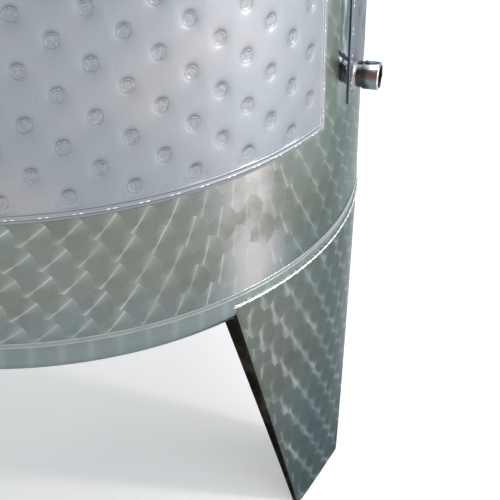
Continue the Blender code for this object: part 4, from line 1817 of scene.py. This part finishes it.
    def _weld(self, seed: float) -> bmesh.types.BMesh:
        """The bead along the leg's top edge and a little round both folds.

        Args:
            seed: shifts its lumps.

        Returns:
            Its shape.
        """
        line = self._section(1.0)[: self.web_steps + self.bend_steps - 1]
        half = [Vector((across, -outward + 0.0004, self.top + 0.0003)) for across, outward in line]
        path = [Vector((-point.x, point.y, point.z)) for point in reversed(half[1:])] + half
        fine: list[Vector] = []
        for first, second in zip(path, path[1:]):
            pieces = max(1, round((second - first).length / 0.0016))
            fine += [first.lerp(second, step / pieces) for step in range(pieces)]
        fine.append(path[-1])
        drop = Vector((0.0, 0.0, -0.0045))
        fine = [fine[0] + drop, fine[0] + drop * 0.4] + fine + [fine[-1] + drop * 0.4, fine[-1] + drop]
        count = len(fine)
        radii = []
        for index in range(count):
            from_end = min(index, count - 1 - index)
            blob = 0.0007 * math.exp(-((from_end - 3.0) ** 2) / 4.0)
            lump = 0.16 * math.sin(index * 1.9 + seed) + 0.12 * math.sin(index * 0.83 + seed * 2.0)
            radii.append(self.bead * (0.82 + lump) + blob if from_end else self.bead * 0.5)
        return lumpy(swept(fine, radii, 12), 0.00025, 0.0022, seed)


@dataclass
class Manhole:
    """The manhole's neck, gasket, lid, closing ring, lever and handle."""

    finishes: Finishes
    radius: float = 0.200
    sheet: float = 0.002
    rim: float = 0.012
    base: float = 1.740452
    neck_height: float = 0.070
    gasket: float = 0.004
    lid_sheet: float = 0.0015
    lid_rise: float = 0.022
    ring_sheet: float = 0.0015
    ring_fit: float = 0.0007
    ring_leg: float = 0.008
    ring_opening: float = 6.0
    lever_length: float = 0.110
    lever_height: float = 0.014
    lever_thickness: float = 0.004
    rod: float = 0.005
    handle_span: float = 0.110
    handle_rise: float = 0.038
    handle_corner: float = 0.014
    handle_offset: float = 0.105
    segments: int = 160

    def build(self) -> None:
        """Makes every piece of the manhole."""
        finishes = self.finishes
        Piece("manhole_collar", self._neck(), finishes.satin_upright, "plain_steel", ("manhole_neck",)).place()
        Piece("manhole_collar_weld", self._neck_weld(), finishes.weld, "weld_steel").place()
        Piece("manhole_seal", self._gasket(), finishes.rubber, "gasket_rubber", ("manhole_gasket",)).place()
        Piece("manhole_cover", self._lid(), finishes.satin_round, "plain_steel", ("manhole_lid",)).place()
        Piece("clamp_ring", self._ring(), finishes.polished, "polished_steel", ("closing_ring",)).place()
        Piece("clamp_lever", self._lever(), finishes.polished, "polished_steel", ("ring_lever",)).place()
        Piece("cover_handle", self._handle(), finishes.polished, "polished_steel", ("lid_handle",)).place()
        Piece("cover_handle_welds", self._handle_welds(), finishes.weld, "weld_steel").place()

    @property
    def rim_z(self) -> float:
        """Height of the neck's rim."""
        return self.base + self.neck_height

    @property
    def lid_z(self) -> float:
        """Height of the underside of the lid's rim."""
        return self.rim_z + self.gasket + 2 * SEAT_GAP

    def lid_height(self, radius: float) -> float:
        """Height of the lid's upper side at a radius."""
        flat = self.lid_z + self.lid_sheet
        return flat + self.lid_rise * max(0.0, 1.0 - (radius / self.radius) ** 2)

    def _neck(self) -> bmesh.types.BMesh:
        """The rolled collar with its rim turned out over a small radius."""
        inner = self.radius - self.sheet
        outer = self.radius + self.rim
        bend_in = arc((self.radius + 0.003, self.rim_z - 0.005), 0.005, 180.0, 90.0, 8)
        bend_out = arc((self.radius + 0.003, self.rim_z - 0.005), 0.003, 90.0, 180.0, 8)
        outline = (
            [(inner, self.base)]
            + bend_in
            + [(outer - 0.0005, self.rim_z), (outer, self.rim_z - 0.0005), (outer, self.rim_z - self.sheet + 0.0005)]
            + [(outer - 0.0005, self.rim_z - self.sheet)]
            + bend_out
            + [(self.radius, self.base)]
        )
        return spun(outline, self.segments)

    def _neck_weld(self) -> bmesh.types.BMesh:
        """The fillet between the collar and the top end."""
        foot = [Vector((self.radius + 0.0009, 0.0, self.base + 0.0009))]
        middle = 288
        path = [Matrix.Rotation(2.0 * math.pi * i / middle, 3, "Z") @ foot[0] for i in range(middle)]
        radii = [0.0021 * (1.0 + 0.10 * math.sin(i * 1.7) + 0.08 * math.sin(i * 0.61)) for i in range(middle)]
        return swept(path, radii, 10, closed=True)

    def _gasket(self) -> bmesh.types.BMesh:
        """The flat rubber ring, a little rounded."""
        low = self.rim_z + SEAT_GAP
        high = low + self.gasket
        inner = self.radius - self.sheet
        outer = self.radius + self.rim - 0.001
        return spun(rounded([(inner, high), (outer, high), (outer, low), (inner, low)], 0.0011, 3), self.segments)

    def _lid(self) -> bmesh.types.BMesh:
        """The domed cover with a flat rim and two pressed rings."""
        steps = 40
        upper: Profile = []
        for step in range(steps + 1):
            radius = self.radius * step / steps
            press = sum(0.0012 * math.exp(-(((radius - ring) / 0.0035) ** 2)) for ring in (0.070, 0.160))
            upper.append((radius, self.lid_height(radius) + press))
        rim = self.radius + self.rim
        upper += [(rim - 0.0004, self.lid_height(rim)), (rim, self.lid_height(rim) - 0.0004)]
        lower = [(radius, height - self.lid_sheet) for radius, height in reversed(upper[: steps + 1])]
        edge = [(rim, self.lid_z + 0.0004), (rim - 0.0004, self.lid_z)]
        return spun(upper + edge + lower, self.segments, closed=False)

    def _ring(self) -> bmesh.types.BMesh:
        """The channel that grips both rims, open at its lever."""
        inner = self.radius + self.rim + self.ring_fit
        outer = inner + self.ring_sheet
        grip = inner - self.ring_leg
        high = self.lid_z + self.lid_sheet + SEAT_GAP
        low = self.rim_z - self.sheet - SEAT_GAP
        outline = [
            (grip, high + self.ring_sheet),
            (outer, high + self.ring_sheet),
            (outer, low - self.ring_sheet),
            (grip, low - self.ring_sheet),
            (grip, low),
            (inner, low),
            (inner, high),
            (grip, high),
        ]
        shape = spun(rounded(outline, 0.0008, 3), self.segments, turn=360.0 - self.ring_opening)
        return placed(shape, Matrix.Rotation(math.radians(self.ring_opening / 2 - 90.0), 4, "Z"))

    def _lever(self) -> bmesh.types.BMesh:
        """The bent flat lever with rounded ends and its two rivets."""
        outer = self.radius + self.rim + self.ring_fit + self.ring_sheet + SEAT_GAP + self.lever_thickness
        middle = (self.rim_z + self.lid_z) / 2
        bar = bmesh.new()
        bmesh.ops.create_cube(bar, size=1.0)
        size = (self.lever_length, self.lever_height, self.lever_thickness)
        bmesh.ops.scale(bar, vec=size, verts=bar.verts)
        corners = [edge for edge in bar.edges if abs(edge.verts[0].co.z - edge.verts[1].co.z) > 0.001]
        bevelled(bar, corners, 0.0055, 5)
        bevelled(bar, [edge for edge in bar.edges if edge.calc_face_angle(0.0) > 1.0], 0.0007, 2)
        for place in (-0.04, -0.02, 0.0, 0.02, 0.04):
            cut = bar.verts[:] + bar.edges[:] + bar.faces[:]
            bmesh.ops.bisect_plane(bar, geom=cut, plane_co=(place, 0.0, 0.0), plane_no=(1.0, 0.0, 0.0))
        for place in (-0.036, 0.012):
            rivet = bmesh.ops.create_cone(
                bar, cap_ends=True, segments=20, radius1=0.0042, radius2=0.0034, depth=0.0022
            )["verts"]
            bmesh.ops.translate(bar, vec=(place, 0.0, self.lever_thickness / 2 + 0.0004), verts=rivet)
        bmesh.ops.translate(bar, vec=(0.0, 0.0, -self.lever_thickness / 2), verts=bar.verts)
        bend_round(bar, outer, 0.0, middle)
        return bar

    def _handle_path(self) -> list[Vector]:
        """The centre line of the handle's rod."""
        half = self.handle_span / 2
        foot = self.lid_height(math.hypot(self.handle_offset, half) - self.rod) + SEAT_GAP
        centre = (half - self.handle_corner, foot + self.handle_rise - self.handle_corner)
        right = [(half, foot - 0.001), (half, foot + 0.006)] + arc(centre, self.handle_corner, 0.0, 90.0, 10)
        across = [(-x, z) for x, z in reversed(right)]
        return [Vector((x, -self.handle_offset, z)) for x, z in right + across]

    def _handle(self) -> bmesh.types.BMesh:
        """The bent round rod."""
        path = self._handle_path()
        return swept(path, [self.rod] * len(path), 24)

    def _handle_welds(self) -> bmesh.types.BMesh:
        """A small bead round each foot of the handle."""
        beads = []
        for number, foot in enumerate((self._handle_path()[0], self._handle_path()[-1])):
            around_foot = []
            for step in range(28):
                angle = 2.0 * math.pi * step / 28
                x = foot.x + (self.rod + 0.0003) * math.cos(angle)
                y = foot.y + (self.rod + 0.0003) * math.sin(angle)
                around_foot.append(Vector((x, y, self.lid_height(math.hypot(x, y)) + 0.0004)))
            radii = [0.0014 * (1.0 + 0.12 * math.sin(step * 2.3 + number)) for step in range(28)]
            beads.append(swept(around_foot, radii, 10, closed=True))
        return joined(beads)


@dataclass
class Breather:
    """The screwed stub on the lid and the loose cap over it."""

    finishes: Finishes
    manhole: Manhole
    radius: float = 0.016
    height: float = 0.030
    cap_radius: float = 0.027
    cap_height: float = 0.024
    slots: int = 12

    def build(self) -> None:
        """Makes the stub and the cap."""
        base = self.manhole.lid_height(0.0) + SEAT_GAP
        stub = placed(self._stub(), Matrix.Translation((0.0, 0.0, base)))
        Piece("breather_stub", stub, self.finishes.polished, "polished_steel", ("vent_body",)).place()
        cap_base = base + self.height + SEAT_GAP
        cap = placed(self._cap(), Matrix.Translation((0.0, 0.0, cap_base)))
        Piece("breather_cap", cap, self.finishes.plastic, "vent_plastic", ("vent_cap",), sharp=30.0).place()
        seat = self.manhole.lid_height(self.radius)
        path = [azimuth_point(360.0 * i / 48, self.radius + 0.0004, seat + 0.0008) for i in range(48)]
        radii = [0.0016 * (1.0 + 0.10 * math.sin(i * 2.1)) for i in range(48)]
        Piece("breather_weld", swept(path, radii, 10, closed=True), self.finishes.weld, "weld_steel").place()

    def _stub(self) -> bmesh.types.BMesh:
        """A turned stub with a round thread on its upper half."""
        outline: Profile = [(0.0, 0.0), (self.radius, 0.0), (self.radius, self.height * 0.42)]
        outline += [(self.radius - 0.0015, self.height * 0.46)]
        place = self.height * 0.52
        while place < self.height - 0.0018:
            outline += [(self.radius - 0.0013, place), (self.radius - 0.0002, place + 0.0006)]
            outline += [(self.radius - 0.0002, place + 0.0009)]
            place += 0.0018
        outline += [(self.radius - 0.0015, self.height - 0.0006), (self.radius - 0.0021, self.height)]
        return spun(outline + [(0.0, self.height)], 64, closed=False)

    def _cap(self) -> bmesh.types.BMesh:
        """A moulded cap with upright slots in its skirt."""
        edge = arc((self.cap_radius - 0.005, self.cap_height - 0.005), 0.005, 0.0, 90.0, 6)
        outline: Profile = [(0.0, 0.0), (self.cap_radius - 0.0008, 0.0), (self.cap_radius, 0.0008)]
        outline += [(self.cap_radius, 0.004), (self.cap_radius, 0.015)] + edge
        outline += [(self.cap_radius * 0.55, self.cap_height), (self.cap_radius * 0.50, self.cap_height - 0.0008)]
        outline += [(0.0, self.cap_height - 0.0008)]
        shape = spun(outline, 4 * self.slots, closed=False)
        skirt = []
        for face in shape.faces:
            middle = face.calc_center_median()
            turn = math.degrees(math.atan2(middle.y, middle.x)) % (360.0 / self.slots)
            if abs(middle.z - 0.0095) < 0.001 and turn < 180.0 / self.slots and middle.to_2d().length > 0.02:
                skirt.append(face)
        inner = bmesh.ops.inset_region(shape, faces=skirt, thickness=0.0006, depth=0.0)
        shape.faces.ensure_lookup_table()
        bmesh.ops.inset_region(shape, faces=skirt, thickness=0.0002, depth=-0.0022)
        LOG.debug("slots: %d", len(inner["faces"]))
        bmesh.ops.recalc_face_normals(shape, faces=shape.faces)
        return shape


@dataclass
class Drain:
    """The pipe under the bottom end with its round union thread."""

    finishes: Finishes
    top: float = 0.239858
    length: float = 0.060
    bore: float = 0.0185
    tube: float = 0.0205
    thread: float = 0.0325
    thread_length: float = 0.016
    pitch: float = 0.00423
    depth: float = 0.0021

    def build(self) -> None:
        """Makes the drain and its weld."""
        Piece("drain_union", spun(self._outline(), 96), self.finishes.polished, "polished_steel", ("drain",)).place()
        path = [azimuth_point(360.0 * i / 96, self.tube + 0.0006, self.top + 0.0002) for i in range(96)]
        radii = [0.0020 * (1.0 + 0.10 * math.sin(i * 1.7)) for i in range(96)]
        Piece("drain_weld", swept(path, radii, 10, closed=True), self.finishes.weld, "weld_steel").place()

    def _outline(self) -> Profile:
        """Its section, with rounded thread grooves."""
        low = self.top - self.length
        shoulder = low + self.thread_length
        cone = self.thread - self.tube
        outline: Profile = [(self.tube, self.top), (self.tube, shoulder + cone + 0.001)]
        outline += [(self.tube + 0.0005, shoulder + cone - 0.0002), (self.thread - self.depth, shoulder + 0.0016)]
        steps = 40
        for step in range(steps + 1):
            place = shoulder - (self.thread_length - 0.0016) * step / steps
            wave = 0.5 + 0.5 * math.cos(2.0 * math.pi * (shoulder - place) / self.pitch)
            outline.append((self.thread - self.depth * (1.0 - wave), place))
        outline += [(self.thread - self.depth - 0.0008, low + 0.0004), (self.thread - self.depth - 0.0016, low)]
        outline += [(self.bore + 0.0008, low), (self.bore, low + 0.0008), (self.bore, self.top)]
        return outline


@dataclass
class Studio:
    """The pale floor, the soft lights and the camera."""

    floor_size: float = 80.0
    floor_colour: Colour = (0.86, 0.86, 0.86)
    floor_glow: float = 0.27
    camera_place: tuple[float, float, float] = (-0.44912, -1.22728, 1.05175)
    camera_heading: float = 31.56
    camera_pitch: float = 32.53
    camera_roll: float = -0.65
    lens: float = 80.0
    sensor: float = 36.0

    def build(self) -> None:
        """Makes the stage, the lights, the world and the camera."""
        self._camera()
        self._floor()
        self._world()
        middle = Vector((0.0, 0.0, 0.5))
        self._light("key", azimuth_point(42.0, 3.0, 1.0), middle, (0.22, 0.50), 32.0, (1.0, 0.97, 0.95))
        self._light("side", azimuth_point(52.0, 3.2, 1.7), middle, (1.8, 1.6), 36.0, (1.0, 0.98, 0.97))
        low_place = azimuth_point(35.5, 1.07, 0.17)
        self._light("low", low_place, azimuth_point(9.0, 0.4, 0.45), (0.07, 0.32), 0.3, (1.0, 0.92, 0.90))
        self._light("back", azimuth_point(222.0, 3.2, 1.8), middle, (1.4, 1.6), 34.0, (0.97, 0.98, 1.0))
        self._light("overhead", Vector((0.3, -0.6, 3.6)), Vector((0.0, 0.0, 0.0)), (3.2, 3.2), 75.0, (0.97, 0.98, 1.0))

    def _camera(self) -> None:
        """The camera, solved from the photograph."""
        heading, pitch, roll = (
            math.radians(angle) for angle in (self.camera_heading, self.camera_pitch, self.camera_roll)
        )
        right = Vector((math.cos(heading), -math.sin(heading), 0.0))
        ahead = Vector(
            (math.sin(heading) * math.cos(pitch), math.cos(heading) * math.cos(pitch), -math.sin(pitch))
        )
        above = right.cross(ahead)
        side = math.cos(roll) * right + math.sin(roll) * above
        top = -math.sin(roll) * right + math.cos(roll) * above
        matrix = Matrix((side, top, -ahead)).transposed().to_4x4()
        matrix.translation = Vector(self.camera_place)
        lens = bpy.data.cameras.new("camera")
        lens.lens = self.lens
        lens.sensor_width = self.sensor
        lens.clip_start = 0.05
        lens.clip_end = 60.0
        camera = bpy.data.objects.new("camera", lens)
        bpy.context.scene.collection.objects.link(camera)
        camera.matrix_world = matrix
        bpy.context.scene.camera = camera

    def _floor(self) -> None:
        """A plain pale floor."""
        shape = bmesh.new()
        bmesh.ops.create_grid(shape, x_segments=8, y_segments=8, size=self.floor_size / 2)
        mesh = bpy.data.meshes.new("floor")
        shape.to_mesh(mesh)
        shape.free()
        graph = Graph("floor")
        speck = graph.noise(graph.place(), 3.0, 3.0)
        mesh.materials.append(
            graph.surface(
                {
                    "Base Color": graph.toned(self.floor_colour, 0.985 + speck * 0.03),
                    "Roughness": 0.85,
                    "Emission Color": (1.0, 1.0, 1.0, 1.0),
                    "Emission Strength": self.floor_glow,
                }
            )
        )
        floor = bpy.data.objects.new("floor", mesh)
        bpy.context.scene.collection.objects.link(floor)

    def _world(self) -> None:
        """A plain light-grey surrounding."""
        world = bpy.data.worlds.new("studio")
        bpy.context.scene.world = world
        world.use_nodes = True
        ground = world.node_tree.nodes["Background"]
        ground.inputs["Color"].default_value = (0.93, 0.96, 1.0, 1.0)
        ground.inputs["Strength"].default_value = 0.75
        bpy.context.scene.view_settings.view_transform = "Standard"

    def _light(
        self, name: str, place: Vector, target: Vector, size: tuple[float, float], power: float, colour: Colour
    ) -> None:
        """A rectangular softbox.

        Args:
            name: its name.
            place: its middle.
            target: the point that it faces.
            size: its width and height.
            power: its power in watts.
            colour: its colour.
        """
        lamp = bpy.data.lights.new(name, "AREA")
        lamp.shape = "RECTANGLE"
        lamp.size, lamp.size_y = size
        lamp.energy = power
        lamp.color = colour
        holder = bpy.data.objects.new(name, lamp)
        bpy.context.scene.collection.objects.link(holder)
        holder.location = place
        holder.rotation_euler = (target - place).to_track_quat("-Z", "Y").to_euler()


def main() -> None:
    """Builds every sub-assembly in order."""
    logging.basicConfig(level=logging.INFO, format="%(message)s")
    finishes = Finishes.mixed()
    wall = Wall(finishes)
    ends = Ends(finishes, wall)
    manhole = Manhole(finishes)
    assemblies = (
        wall,
        Seams(finishes, wall),
        ends,
        Jacket(finishes, wall),
        JacketPipes(finishes, wall),
        Legs(finishes, wall, ends),
        manhole,
        Breather(finishes, manhole),
        Drain(finishes),
        Studio(),
    )
    for assembly in assemblies:
        assembly.build()
        LOG.info("built %s", type(assembly).__name__)


if __name__ == "__main__":
    main()
